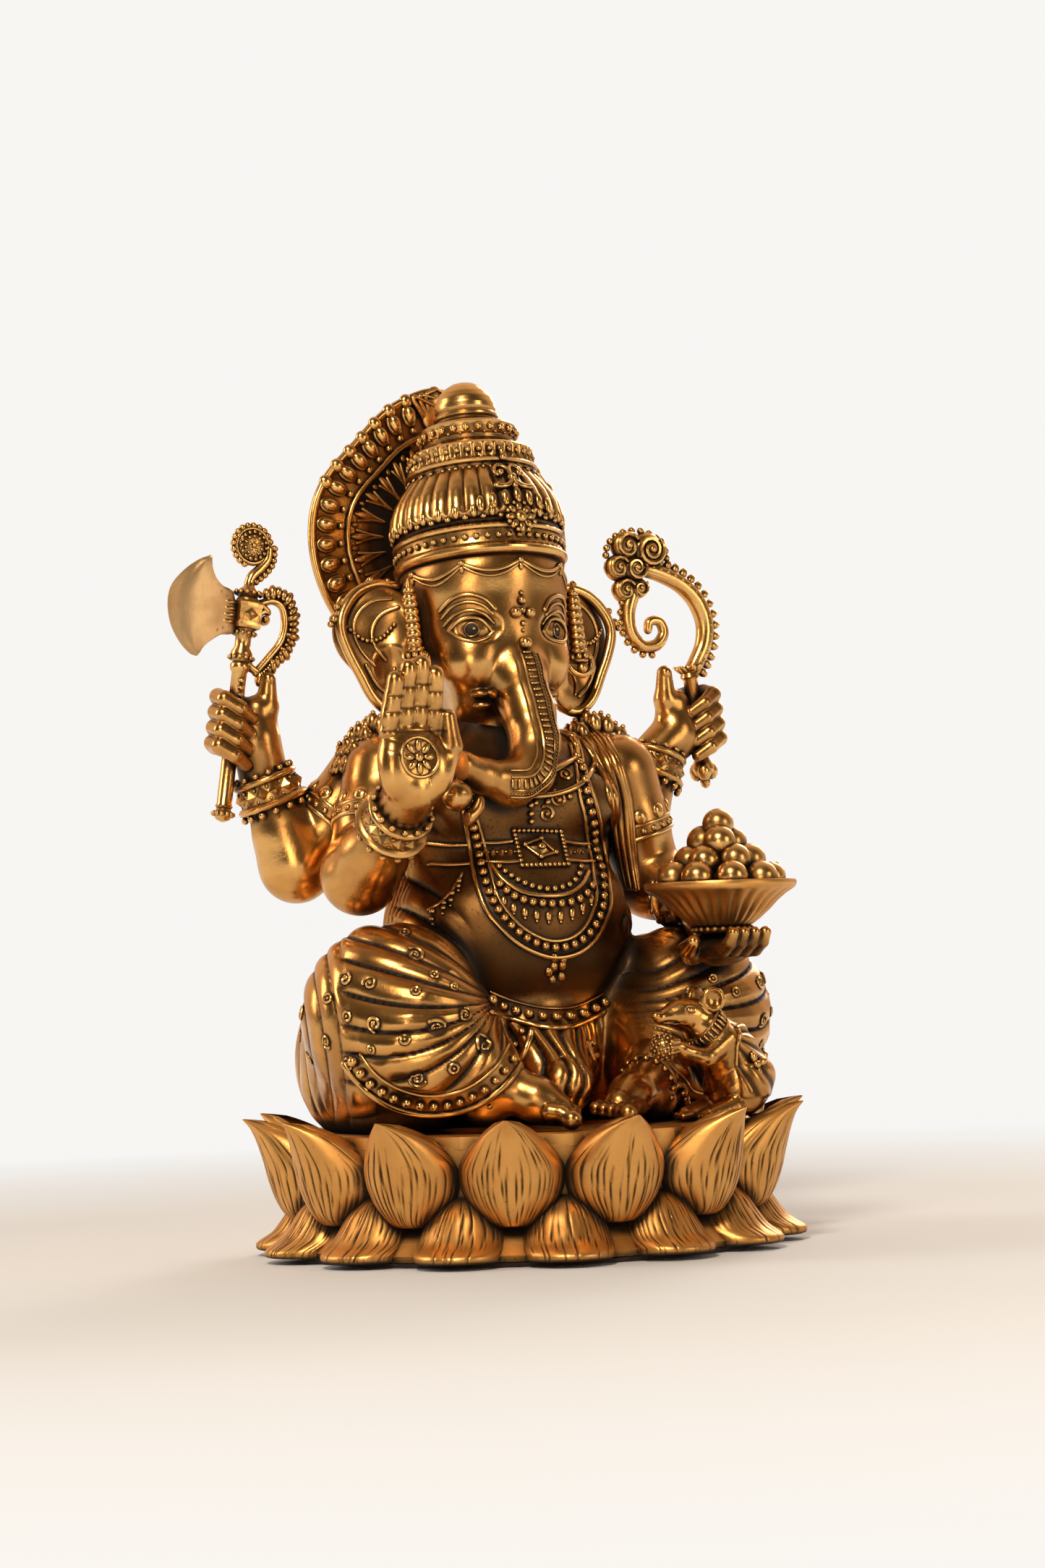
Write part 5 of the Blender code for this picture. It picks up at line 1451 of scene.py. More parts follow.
def build_axe():
    place = along_frame(AXE_FOOT, AXE_TOP - AXE_FOOT)
    shaft = Trim()
    shaft.turned([
        (0.6, -9), (2.4, -8.2), (3.3, -6.4), (2.4, -4.6), (3.0, -3.8), (2.6, -3), (2.6, 42), (3.3, 43), (3.5, 44.5), (2.7, 45.6), (3.7, 47),
        (3.7, 49), (2.7, 50.6), (2.7, 54), (3.6, 55), (3.8, 67), (3.1, 68), (4.1, 69.2), (3.1, 70.6), (1.9, 71.4), (1.6, 73), (1.5, 74.5),
    ], 32, place)
    shaft.turned(
        [(1.5, 56.2), (4.5, 57), (5.0, 58.2), (4.6, 59.4), (4.6, 64), (5.0, 65.2), (4.5, 66.4), (1.5, 67)], 32, place,
        lambda angle, share: 0.92 / np.maximum(np.abs(np.cos(angle)), np.abs(np.sin(angle))) ** 0.8 + 0 * share,
    )
    for side in (-1, 1):
        front = place[:3, :3] @ np.stack([(1, 0, 0), (0, 0, 1), (0, side, 0)], 1)
        shaft.diamond(put(place, (0, side * 4.2, 61.7)), (2.7, 2.4, 1.3), front)
        shaft.bead(put(place, (0, side * 5.3, 61.7)), 0.9)
        for height in np.arange(24, 41, 2.5):
            shaft.bead(put(place, (0, side * 2.8, height)), 1.05)
    for height in (58.4, 60.6, 62.8, 65.0):
        shaft.bead(put(place, (-6.4, 0, height)), (3.2, 1.9, 1.15), place[:3, :3])
    for height, reach, size in ((47, 4.0, 0.9), (55.4, 3.9, 0.8), (69.2, 4.4, 1.0), (-6.4, 3.3, 1.0)):
        for angle in np.linspace(0, 2 * math.pi, 12, endpoint=False):
            shaft.bead(put(place, (reach * math.cos(angle), reach * math.sin(angle), height)), size, detail=1)
    shaft.piece("axe_handle", brass_relief, "axe_shaft")

    # The blade is lofted between its cutting arc and its hollow inner edge
    outer = [(-95.8, 238), (-100.1, 236.4), (-105.1, 233.2), (-109.6, 228.8), (-111.6, 224.4), (-111.9, 219), (-110.8, 213.6), (-107.9, 208.3), (-104.6, 204.9), (-102.3, 204)]
    inner = [(-95.6, 237.6), (-95.3, 233.6), (-93.9, 230), (-91.4, 227.4), (-88.2, 225.6), (-87.2, 218.5), (-88.2, 212), (-93.1, 211.2), (-96.1, 209.7), (-99.4, 207.4), (-102, 204.3)]
    outer, inner = (spline([(x, 32, z) for x, z in line], 0.2) for line in (outer, inner))
    outer, inner = (line[np.linspace(0, len(line) - 1, 60).round().astype(int)] for line in (outer, inner))
    share = np.array((0.0, 0.05, 0.2, 0.4, 0.6, 0.76, 0.8, 0.9, 1.0))
    thick = np.array((0.9, 1.35, 1.3, 1.2, 1.1, 1.0, 0.72, 0.5, 0.22))
    rows = []
    for edge, root in zip(outer, inner):
        across = root + (edge - root) * share[:, None]
        rows.append(np.vstack([across - thick[:, None] * (0, 1, 0), (across + thick[:, None] * (0, 1, 0))[::-1]]))
    blade = Trim()
    blade.add(np.vstack(rows), [lattice(60, 18, False), np.arange(18)[None, ::-1], (59 * 18 + np.arange(18))[None]])
    for fork in (-1, 1):
        for step, size in ((0, 1.5), (1, 1.25), (2, 1.0)):
            blade.bead(put(place, (-6.3 - 2.1 * step, 0, 61.3 + fork * (4.5 + 1.2 * step - 0.15 * step))), (size, 1.5, size), place[:3, :3])
    blade.piece("axe_crescent", brass_pale, "axe_blade")

    disc = Trim()
    centre = np.array((-80.1, 32, 241.4))
    stem = spline([(-81.9, 32, 228.2), (-80.6, 32, 231), (-77.6, 32, 233.6), (-74.7, 32, 236.8), (-74.0, 32, 240.6)], 0.6)
    disc.tube(stem, 1.7, sides=10)
    for spot in spline([(-79.2, 32, 229.2), (-75.6, 32, 231.8), (-72.6, 32, 235.6), (-71.8, 32, 240.6)], 2.1):
        disc.bead(spot, 1.25)
    disc.bead(centre, (5.6, 1.8, 5.6), detail=3)
    for turn in np.linspace(-0.1, 1.35 * math.pi, 15):
        disc.bead(centre + 6.9 * np.array((math.cos(turn), 0, math.sin(turn))), 1.2)
    for side in (-1, 1):
        for row, count in ((4.6, 15), (3.1, 10), (1.6, 5)):
            for turn in np.linspace(0.2, 0.2 + 2 * math.pi, count, endpoint=False):
                disc.bead(centre + np.array((row * math.cos(turn), side * 1.4, row * math.sin(turn))), 0.8, detail=1)
        disc.bead(centre + np.array((0, side * 1.6, 0)), 1.0)
    ring = [centre + 5.9 * np.array((math.cos(t), 0, math.sin(t))) for t in np.linspace(0, 2 * math.pi, 48, endpoint=False)]
    disc.tube(ring, 0.95, sides=8, closed=True)
    disc.piece("axe_beaded_scroll", brass_relief, "axe_scroll")

    bracket = Trim()
    inner = spline([(-80.6, 32, 198.4), (-75.5, 32, 203.6), (-70.8, 32, 209), (-69.0, 32, 215), (-69.8, 32, 220.6), (-73.4, 32, 222.8), (-78, 32, 221.8)], 0.7)
    bracket.tube(inner, 1.35, sides=10)
    beyond = spline([(-79.2, 32, 196.6), (-73.6, 32, 201.4), (-68.2, 32, 207), (-66, 32, 214), (-66.6, 32, 221.6), (-70.6, 32, 225.4), (-75.4, 32, 224.9)], 2.2)
    middle = np.array((-75, 32, 213))
    for index, spot in enumerate(beyond):
        out = unit(spot - middle)
        turn = np.stack([out, np.array((0, 1.0, 0)), np.cross(out, (0, 1, 0))], 1)
        bracket.bead(spot, (2.4, 1.7, 1.35) if index % 3 else (3.1, 1.9, 1.6), turn)
        for side in (-1, 1):
            bracket.bead(spot - out * 1.4 + np.array((0, side * 1.3, 0)), 0.8, detail=1)
    front_spiral(bracket, np.array((-76.6, 32, 216.6)), 2.6, 1.2, 1.0, 1, 0.9)
    bracket.tube(spline([(-81, 32, 221), (-78, 32, 221.4), (-75.2, 32, 219.2)], 0.6), 1.2, sides=8)
    bracket.tube(spline([(-84.6, 32, 203.5), (-82.6, 32, 200.4), (-80, 32, 198.6)], 0.6), 1.5, sides=8)
    bracket.piece("axe_leafy_bracket", brass_relief, "axe_bracket")


def build_goad():
    goad = Trim()
    place = along_frame(GOAD_FOOT, GOAD_TOP - GOAD_FOOT)
    goad.turned([
        (0.5, -9.5), (1.6, -8.6), (1.9, -7), (1.5, -6), (3.6, -4.2), (4.2, -2.2), (3.4, 0), (2.6, 1.5), (2.6, 30), (3.6, 31), (3.0, 33), (2.4, 35),
    ], 28, place)
    for turn in np.linspace(0, 2 * math.pi, 3, endpoint=False):
        goad.bead(put(place, (3.0 * math.cos(turn), 3.0 * math.sin(turn), -3.4)), (2.6, 2.6, 3.4), place[:3, :3])
    for turn in np.linspace(0, 2 * math.pi, 7, endpoint=False):
        spin = place[:3, :3] @ np.array(Matrix.Rotation(turn, 3, "Z") @ Matrix.Rotation(math.radians(-38), 3, "Y"))
        goad.bead(put(place, (3.4 * math.cos(turn), 3.4 * math.sin(turn), 33.6)), (2.9, 1.6, 0.9), spin)
    sweep = [(92.2, 199), (95.2, 203.5), (98.4, 210), (99, 217.5), (96, 225), (90, 230.8), (82.5, 234.3), (75, 236.4), (69.5, 237)]
    stem = spline([(x, 32, z) for x, z in sweep], 0.8)
    share = np.linspace(0, 1, len(stem))
    goad.tube(stem, 3.6 - 1.3 * np.abs(share - 0.45), np.tile((0.0, -1, 0), (len(stem), 1)), 0.9, sides=12)
    ahead = np.gradient(stem, axis=0)
    outward = np.cross(ahead, (0, 1, 0))
    outward /= np.linalg.norm(outward, axis=1)[:, None]
    if outward[len(stem) // 2] @ np.array((1, 0, 0.3)) < 0:
        outward = -outward
    for index in range(4, len(stem) - 6, 4):
        turn = np.stack([outward[index], np.array((0, -1.0, 0)), unit(ahead[index])], 1)
        goad.bead(stem[index] + outward[index] * 3.7, (2.5, 1.7, 1.6), turn)
        for side in (-1, 1):
            goad.bead(stem[index] + np.array((0, side * 2.3, 0)) + outward[index] * 1.0, 0.85, detail=1)
    ridge = stem[3:-6] - outward[3:-6] * 1.2
    for side in (-1, 1):
        goad.tube(ridge + np.array((0, side * 1.9, 0)), 0.75, sides=7)

    # Curls massed at the tip, the biggest to the upper right
    curls = ((75.6, 243.2, 6.6, 2.2, -1), (66.6, 244.4, 5.6, 1.5, 1), (62.8, 236.6, 4.8, 1.4, 1), (69.8, 236.8, 5.2, 1.6, -1), (65.4, 228.6, 4.6, 1.4, 1), (71.6, 229.6, 3.8, 1.2, -1))
    for x, z, size, turns, hand in curls:
        centre = np.array((x, 32, z))
        goad.bead(centre, (size, size * 0.62, size), detail=3)
        for side in (-1, 1):
            front_spiral(goad, centre + np.array((0, side * size * 0.5, 0)), size * 0.84, turns, size * 0.16, hand, 0.6, side)
    for turn in np.radians(np.arange(-5, 190, 17)):
        goad.bead((71.2 + 12.6 * math.cos(turn), 32, 241.4 + 8.8 * math.sin(turn)), 1.35)
    volute = spline([(68.5, 32, 227), (66.6, 32, 220.5), (67.6, 32, 213.5), (72.2, 32, 208.9), (78.2, 32, 209.2), (81.4, 32, 213.4), (79.8, 32, 217.6), (75.8, 32, 217.6), (75.0, 32, 214.6)], 0.7)
    goad.tube(volute, np.linspace(3.2, 1.6, len(volute)), sides=12)
    for index in range(3, int(len(volute) * 0.6), 4):
        away = unit(volute[index] - np.array((75.5, 32, 216)))
        goad.bead(volute[index] + away * 3.0, 1.35)
    goad.piece("goad_with_curls", brass_relief, "goad")


def build_bowl():
    bowl = Trim()
    place = np.eye(4)
    place[:3, 3] = BOWL_CENTRE
    outside = [(5, 0), (8.4, 0.1), (9.6, 0.9), (9.9, 1.6), (9.2, 2.3), (10.6, 2.9), (13.2, 4.8), (16.4, 7.6), (19.3, 10.6), (22, 12.8), (24.2, 14.2)]
    inside = [(24.9, 14.7), (25.5, 15.4), (25.8, 16.6), (25.4, 17.5), (24.6, 17.6), (22.5, 15.4), (19, 13.8), (8, 13.2), (2, 13.1)]
    bowl.turned(
        outside + inside, 168, place,
        lambda angle, share: 1 - 0.075 * np.clip(1 - np.abs(share - 0.38) / 0.17, 0, 1) ** 0.4 * np.abs(np.sin(14 * angle)) ** 4,
    )
    for turn in np.linspace(0, 2 * math.pi, 24, endpoint=False):
        bowl.bead(put(place, (9.9 * math.cos(turn), 9.9 * math.sin(turn), 1.5)), 1.05)
    bowl.piece("fluted_bowl", brass_matte, "bowl")

    heap = Trim()
    for turn, count, reach, height in ((0.2, 9, 16.9, 18.6), (0.5, 6, 9.8, 24.4), (0.1, 3, 5.4, 30.9), (0, 1, 0, 37.2)):
        for index in range(count):
            angle = turn + 2 * math.pi * index / count
            spot = BOWL_CENTRE + np.array((reach * math.cos(angle), reach * math.sin(angle), height)) + SEED.normal(0, 0.25, 3)
            heap.bead(spot, 5.5 + SEED.normal(0, 0.12), detail=4)
            way = unit(np.array((math.cos(angle) * 0.5, math.sin(angle) * 0.5, 1)))
            heap.bead(spot + way * 4.6, 1.0, detail=1)
    heap.turned([(1, 12.5), (19, 13.5), (19, 15.5), (12, 19.5), (7, 25), (3, 32)], 24, place)
    heap.piece("heap_of_sweets", brass_relief, "sweets_pile")


def build_mouse():
    clay = Clay((12, -74, 41), (66, -42, 92), 0.3)
    clay.ball((51, -56, 54.5), (10.8, 10.4, 11.5), blend=3)
    clay.limb([((51, -56, 57), 9.8), ((44.5, -57.5, 66), 8.6), ((37.5, -58, 72.5), 6.3), ((32, -58, 77.5), 5.2)], blend=4)
    clay.ball((30.3, -58, 78.4), (7.6, 5.3, 5.2), blend=2)
    clay.limb([((26.5, -58, 78.2), 4.3), ((19.5, -58.6, 77.3), 2.3)], blend=3)
    clay.ball((17.6, -58.8, 78.0), (1.5, 1.6, 1.3), blend=0.6)
    for side in (-1, 1):
        clay.ball((37.0, -58.2 + 5.2 * side, 82.6), (4.3, 1.8, 4.4), Matrix.Rotation(math.radians(20 * side), 4, "Z"), blend=0.7)
        clay.ball((36.3, -58.2 + 6.9 * side, 82.8), (3.1, 1.9, 3.3), blend=0.3, carve=True)
        y = -58 + side * 5.5
        clay.limb([((42, y, 69.5), 4.1), ((33.5, y + side * 1.2, 63.6), 2.9), ((26, -60 + side * 3.2, 66), 2.3), ((22, -60.4 + side * 2.6, 68.6), 1.9)], blend=1.4)
        clay.ball((48.5, -57 + 7 * side, 53), (7.6, 5.0, 8.6), blend=1.6)
        clay.limb([((43, -57 + 8 * side, 46.5), 3.8), ((34, -57 + 7.5 * side, 44.4), 2.9)], blend=1.4)
        for toe in (-1, 0, 1):
            clay.limb([((34.5, -57 + 7.5 * side + toe * 1.6, 44.4), 1.7), ((31.5, -57 + 7.5 * side + toe * 1.9, 43.9), 1.4)], blend=0.3)
            clay.limb([((22.5, -60.4 + side * 3.6, 68 + toe * 1.5), 1.1), ((19.8, -60.6 + side * 4.2, 67.6 + toe * 1.8), 0.9)], blend=0.3)
        clay.limb([((26.5, -58 + side * 3.4, 75.8), 0.5), ((20, -58 + side * 2.2, 75.6), 0.5)], blend=0.3, carve=True)
    clay.cut((0, 0, 42.3), (0, 0, -1))
    skin = clay.skin()
    p = skin.points
    fur = 0.02 * np.sin(p[:, 2] * 3.1 + 1.5 * np.sin(p[:, 0] * 1.7) + p[:, 1] * 0.8)
    cloth = smooth_step(p[:, 0], 43.5, 44.5) * smooth_step(-np.abs(p[:, 2] - 62), -13, -11.5)
    fold = np.sin(np.arctan2(p[:, 2] - 72, p[:, 0] - 38) * 19) * 0.4
    skin.raise_by(fur * (1 - cloth) + cloth * (0.7 + fold), cloth * np.clip(-fold, 0, 1) * 1.4)
    finish_skin("holy_mouse", skin, brass, "mouse")

    bits = Trim()
    for side in (-1, 1):
        eye, normal = skin.near((28.4, -58 + side * 5.5, 79.6))
        across = unit(np.cross(normal, (0, 0, 1)))
        turn = np.stack([across, np.cross(normal, across), normal], 1)
        bits.bead(eye, (1.3, 0.95, 0.6), turn)
        rim = [eye + turn @ np.array((1.9 * math.cos(a), 1.35 * math.sin(a), 0)) for a in np.linspace(0, 2 * math.pi, 24, endpoint=False)]
        places, normals = skin.lay(rim)
        bits.tube(places, 0.32, normals, sides=6, closed=True)
    way = unit(np.array((37.5, -58, 72.5)) - np.array((32, -58, 77.5)))
    centre = np.array((37.0, -58, 72.8))
    ring_place = along_frame(centre, way)
    for index in range(26):
        angle = 2 * math.pi * index / 26
        spot, normal = skin.near(put(ring_place, (8 * math.cos(angle), 8 * math.sin(angle), 0)))
        turn = np.stack([way, np.cross(normal, way), normal], 1)
        bits.bead(spot + normal * 0.2, (2.3, 0.62, 0.9), turn)
    for shift, thick in ((-2.4, 0.55), (2.4, 0.55)):
        loop = [skin.near(put(ring_place, (8 * math.cos(a), 8 * math.sin(a), shift)))[0] for a in np.linspace(0, 2 * math.pi, 40, endpoint=False)]
        bits.tube(smooth_closed(loop), thick, sides=6, closed=True)
    edge = [skin.hit((x, -120, z), (0, 1, 0)) for x, _, z in spline([(45, 0, 72), (43.6, 0, 66), (44.2, 0, 58), (47, 0, 52)], 0.8)]
    edge = np.array([hit[0] for hit in edge if hit is not None])
    bits.tube(edge, 0.7, sides=7)
    knot = skin.hit((50.5, -120, 60.5), (0, 1, 0))[0]
    for angle in (20, 110, 200, 290):
        turn = np.array(Matrix.Rotation(math.radians(-angle), 3, "Y"))
        bits.bead(knot + turn @ np.array((2.5, -0.4, 0)), (2.3, 1.0, 1.3), turn)
    bits.bead(knot + np.array((0, -0.9, 0)), 1.4)
    bits.tube(spline([(60, -50, 50), (63.5, -49, 47), (62, -50, 44), (57, -53, 43.6)], 0.7), 1.3, sides=8)
    bits.piece("mouse_harness", brass_relief)

    sweet = Trim()
    centre = np.array((19.3, -60.6, 67.6))
    sweet.bead(centre, 4.4, detail=3)
    count = 96
    for index in range(count):
        rise = 1 - 2 * (index + 0.5) / count
        angle = index * math.pi * (3 - math.sqrt(5))
        out = np.array((math.cos(angle) * math.sqrt(1 - rise**2), math.sin(angle) * math.sqrt(1 - rise**2), rise))
        sweet.bead(centre + out * 4.35, 0.75, detail=1)
    sweet.piece("mouse_laddu", brass_relief, "mouse_sweet")


def build_held():
    build_axe()
    build_goad()
    build_bowl()
    build_mouse()


# Jewellery and shawl on the body

NECKLACE = [
    (20.5, 174), (22.3, 165), (23.3, 155.6), (25.2, 148.6), (26.4, 139.5), (27.7, 131.5), (28, 123.5), (28.6, 118.1), (27.1, 112.8), (23.6, 106.6),
    (18.2, 102.5), (11.2, 101.4), (4.9, 103.5), (-0.3, 106.9), (-4.4, 111.3), (-8.5, 117.3), (-11.3, 127), (-12.6, 135.1), (-13.6, 141), (-15.5, 150), (-17, 160),
]


def seen_turn(skin, spot):
    """Axes on the skin: across the view, up, and out of the surface."""
    place, normal = skin.near(spot)
    across = unit(ACROSS - normal * (ACROSS @ normal))
    return place, np.stack([across, np.cross(normal, across), normal], 1)


def necklace_path(skin, inward, spacing):
    """The long necklace's line, moved towards the middle of its loop by a number of millimetres."""
    middle = np.array((7.5, 130.0))
    places = []
    for s, z in NECKLACE:
        away = np.array((s, z)) - middle
        places.append(np.array((s, z)) - away / np.linalg.norm(away) * inward)
    return smooth_line(seen_path(skin, places, spacing), 3)


def build_jewels(skin):
    chain = Trim()
    beads, normals = skin.lay(necklace_path(skin, 0, 3.3))
    chain.beads(beads + normals * 0.9, 1.55)
    for inward, thick in ((-3.0, 0.95), (2.5, 0.75)):
        line, normals = skin.lay(necklace_path(skin, inward, 1.0))
        chain.tube(line + normals * 0.25, thick, normals, sides=8)
    drops = seen_path(skin, [(11.4, 98.5), (15.1, 97.3), (13.1, 95.2), (9.9, 95.3), (9.6, 91.7), (13.4, 92.1)], 3.0)
    for spot in drops:
        place, turn = seen_turn(skin, spot)
        chain.bead(place, (1.5, 1.9, 1.1), turn)
    chain.piece("long_necklace", brass_relief)

    plaque = Trim()
    corners = [(-0.9, 141.8), (15, 141.2), (17, 129.4), (1.6, 129.4)]
    loop = []
    for (s0, z0), (s1, z1), steps in zip(corners, corners[1:] + corners[:1], (10, 8, 10, 8)):
        loop += [(s0 + (s1 - s0) * k / steps, z0 + (z1 - z0) * k / steps) for k in range(steps)]
    border = np.array([seen_path(skin, [(s, z), (s + 0.05, z)], 0.05)[0] for s, z in loop])
    places, normals = skin.lay(border)
    plaque.tube(places, 0.6, normals, sides=8, closed=True)
    plaque.beads(places + normals * 0.6, 0.88)
    centre, turn = seen_turn(skin, places.mean(0))
    tips = [centre + turn @ np.array(tip) for tip in ((-5.6, 0, 0), (0, 4.5, 0), (5.6, 0, 0), (0, -4.5, 0))]
    for tip, following in zip(tips, tips[1:] + tips[:1]):
        line, normals = skin.lay(np.linspace(tip, following, 8))
        plaque.tube(line + normals * 0.35, 0.6, normals, sides=8)
        plaque.bead(line[0] + normals[0] * 0.5, 1.05)
    plaque.diamond(centre, (3.4, 2.8, 1.9), turn)
    plaque.bead(centre + turn[:, 2] * 1.5, (1.5, 1.3, 1.0), turn, detail=3)
    for height in (150.2, 147.4, 144.8):
        place, normal = skin.near(seen_path(skin, [(5.2, height), (5.25, height)], 0.05)[0])
        plaque.bead(place + normal * 0.5, 1.15)
    for s, z, hand in ((17.4, 160.6, 1), (15.2, 152.4, -1), (10.6, 147.2, 1)):
        spiral(plaque, skin, seen_path(skin, [(s, z), (s + 0.05, z)], 0.05)[0], 2.9, 1.5, 0.65, hand, 1.0)
    for left, right in (((-13, 138.2), (-1.5, 138)), ((-12, 131.4), (1, 131)), ((16, 137.6), (25, 137)), ((17.2, 131), (26, 130.6)), ((-30, 138.4), (-15.6, 137.4)), ((-29.5, 131.4), (-14.8, 130.8))):
        middle = ((left[0] + right[0]) / 2, (left[1] + right[1]) / 2 - 0.4)
        line, normals = skin.lay(smooth_line(seen_path(skin, [left, middle, right], 0.9), 3))
        plaque.tube(line + normals * 0.3, 0.75, normals, sides=8)
    for s in list(np.arange(-11, -1, 3.0)) + list(np.arange(18.4, 25.5, 3.0)):
        place, turn = seen_turn(skin, seen_path(skin, [(s, 134.5), (s + 0.05, 134.5)], 0.05)[0])
        plaque.diamond(place, (1.5, 2.2, 1.2), turn)
        plaque.bead(place + turn @ np.array((1.5, 0, 0.2)), 0.6, detail=1)
    string = smooth_line(seen_path(skin, [(-30, 116), (-25.4, 118.6), (-21.6, 122.6), (-18.4, 127.8)], 0.9), 3)
    plaque.tube(string, 0.7)
    for spot in string[2::5]:
        for drop, size in ((1.6, 1.1), (3.8, 0.9), (5.5, 0.6)):
            place, normal = skin.near(spot - np.array((0, 0, drop)))
            plaque.bead(place + normal * 0.3, size)
    plaque.piece("chest_plaque", brass_relief)

    collar = Trim()
    crescent = [(-8.5, 130), (-5.5, 125.5), (-1.9, 122.4), (1.7, 120.4), (6.5, 119.3), (11.8, 118.9), (16.6, 119.5), (19.9, 121.1), (22.3, 123.7), (23.8, 127)]
    line, normals = skin.lay(smooth_line(seen_path(skin, crescent, 0.9), 3))
    collar.tube(line + normals * 0.3, 0.95, normals, sides=8)
    inner = [(-6, 129.3), (-2.8, 126.6), (0.1, 124.6), (3.2, 123), (6.3, 121.9), (9.2, 121.3), (12.4, 121.3), (15.1, 121.9), (18, 123.1), (20.6, 126.2), (21.3, 128.5)]
    row, normals = skin.lay(seen_path(skin, inner, 2.5))
    collar.beads(row + normals * 0.6, 1.15)
    outer = [(-6, 123.4), (-2.5, 120.0), (1.4, 118.0), (4.7, 117), (8.3, 116.5), (11.7, 116.2), (15.5, 116.4), (18.7, 117.1), (22, 118.8), (24.6, 122)]
    row, normals = skin.lay(seen_path(skin, outer, 3.3))
    collar.beads(row + normals * 0.8, 1.5)
    hanging = [(-7.5, 121), (-3.7, 117), (0, 114.8), (4.1, 113.3), (7.9, 112.6), (12.4, 112.2), (16.9, 112.9), (20.7, 114.4), (24.5, 117.6)]
    for spot in seen_path(skin, hanging, 3.9):
        place, turn = seen_turn(skin, spot)
        collar.bead(place, (1.25, 2.0, 1.1), turn)
        collar.bead(place + turn @ np.array((0, -2.1, 0.1)), 0.7, detail=1)

    # Neck rings round the throat, closing over the shoulders
    for tilt, height, reach, thick in ((0.34, 170, 27, 1.35), (0.36, 164.5, 31, 1.1)):
        loop = []
        for angle in np.linspace(0, 2 * math.pi, 90, endpoint=False):
            point = np.array((reach * math.sin(angle), 14 - reach * math.cos(angle), height + tilt * (-reach * math.cos(angle) * -1) * 0.0))
            point[2] += -tilt * reach * math.cos(angle)
            loop.append(skin.near(point)[0])
        loop = smooth_closed(loop, 6)
        places, normals = skin.lay(loop)
        collar.tube(places + normals * 0.4, thick, normals, sides=8, closed=True)
        for spot, normal in zip(places[::2], normals[::2]):
            collar.bead(spot + normal * 0.7 + np.array((0, 0, -2.2)), 1.1)
    collar.piece("neck_rings", brass_relief)


SHAWL_INNER = [(15.8, 183), (19.2, 179.6), (24.2, 174.8), (28.2, 169.2), (31.3, 162), (33.2, 155), (34.4, 147), (35.2, 139), (36.4, 131), (38, 122)]
SHAWL_OUTER = [(20, 187), (26, 184), (32, 177.5), (36, 170), (38.6, 162), (40.4, 154), (41.2, 146), (41.4, 138), (42, 130), (43, 121)]


def build_shawl(body, sleeve):
    """Long folds of cloth from the neck over the left shoulder and down the upper arm."""
    both = Skin(np.vstack([body.points, sleeve.points]), np.vstack([body.quads, sleeve.quads + len(body.points)]))
    cloth = Trim()
    for index in range(7):
        share = index / 6 - 0.18
        path = [(a * (1 - share) + c * share, b * (1 - share) + d * share) for (a, b), (c, d) in zip(SHAWL_INNER, SHAWL_OUTER)]
        line = smooth_line(seen_path(both, path, 1.0), 8)
        thick = np.interp(np.linspace(0, 1, len(line)), (0, 0.25, 0.8, 1), (1.0, 1.9, 1.7, 1.1)) * (1.12 if index % 2 else 0.86)
        cloth.tube(line, thick, sides=12)
    for shift in (0, 2.6):
        roll = seen_path(both, [(8 + shift, 186 + shift * 0.6), (13 + shift, 184.5 + shift * 0.6), (19 + shift, 181 + shift * 0.4), (23 + shift, 176)], 1.0)
        if len(roll) > 6:
            cloth.tube(smooth_line(roll, 8), 2.0, sides=12)
    cloth.piece("shawl_folds", brass)


def build_all():
    build_lotus()
    body = carve_body()
    dress_garment(body)
    build_jewels(body)
    finish_skin("draped_body", body, brass, "torso", "right_leg", "left_leg")
    build_head()
    build_limbs(body)
    build_held()
    for name, finish in (
        ("base_pad", felt), ("figure_stud", steel), ("stud_washer", steel), ("stud_nut", steel), ("halo_screw", steel), ("lotus_drum", brass_matte),
    ):
        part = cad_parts[name]
        part.data.materials.clear()
        part.data.materials.append(finish)


# Stage


def area_lamp(name, place, target, size, watts, colour):
    data = bpy.data.lights.new(name, "AREA")
    data.shape = "RECTANGLE"
    data.size, data.size_y = size
    data.energy = watts
    data.color = colour
    lamp = bpy.data.objects.new(name, data)
    lamp.location = place
    lamp.rotation_euler = (Vector(target) - Vector(place)).to_track_quat("-Z", "Y").to_euler()
    bpy.context.scene.collection.objects.link(lamp)


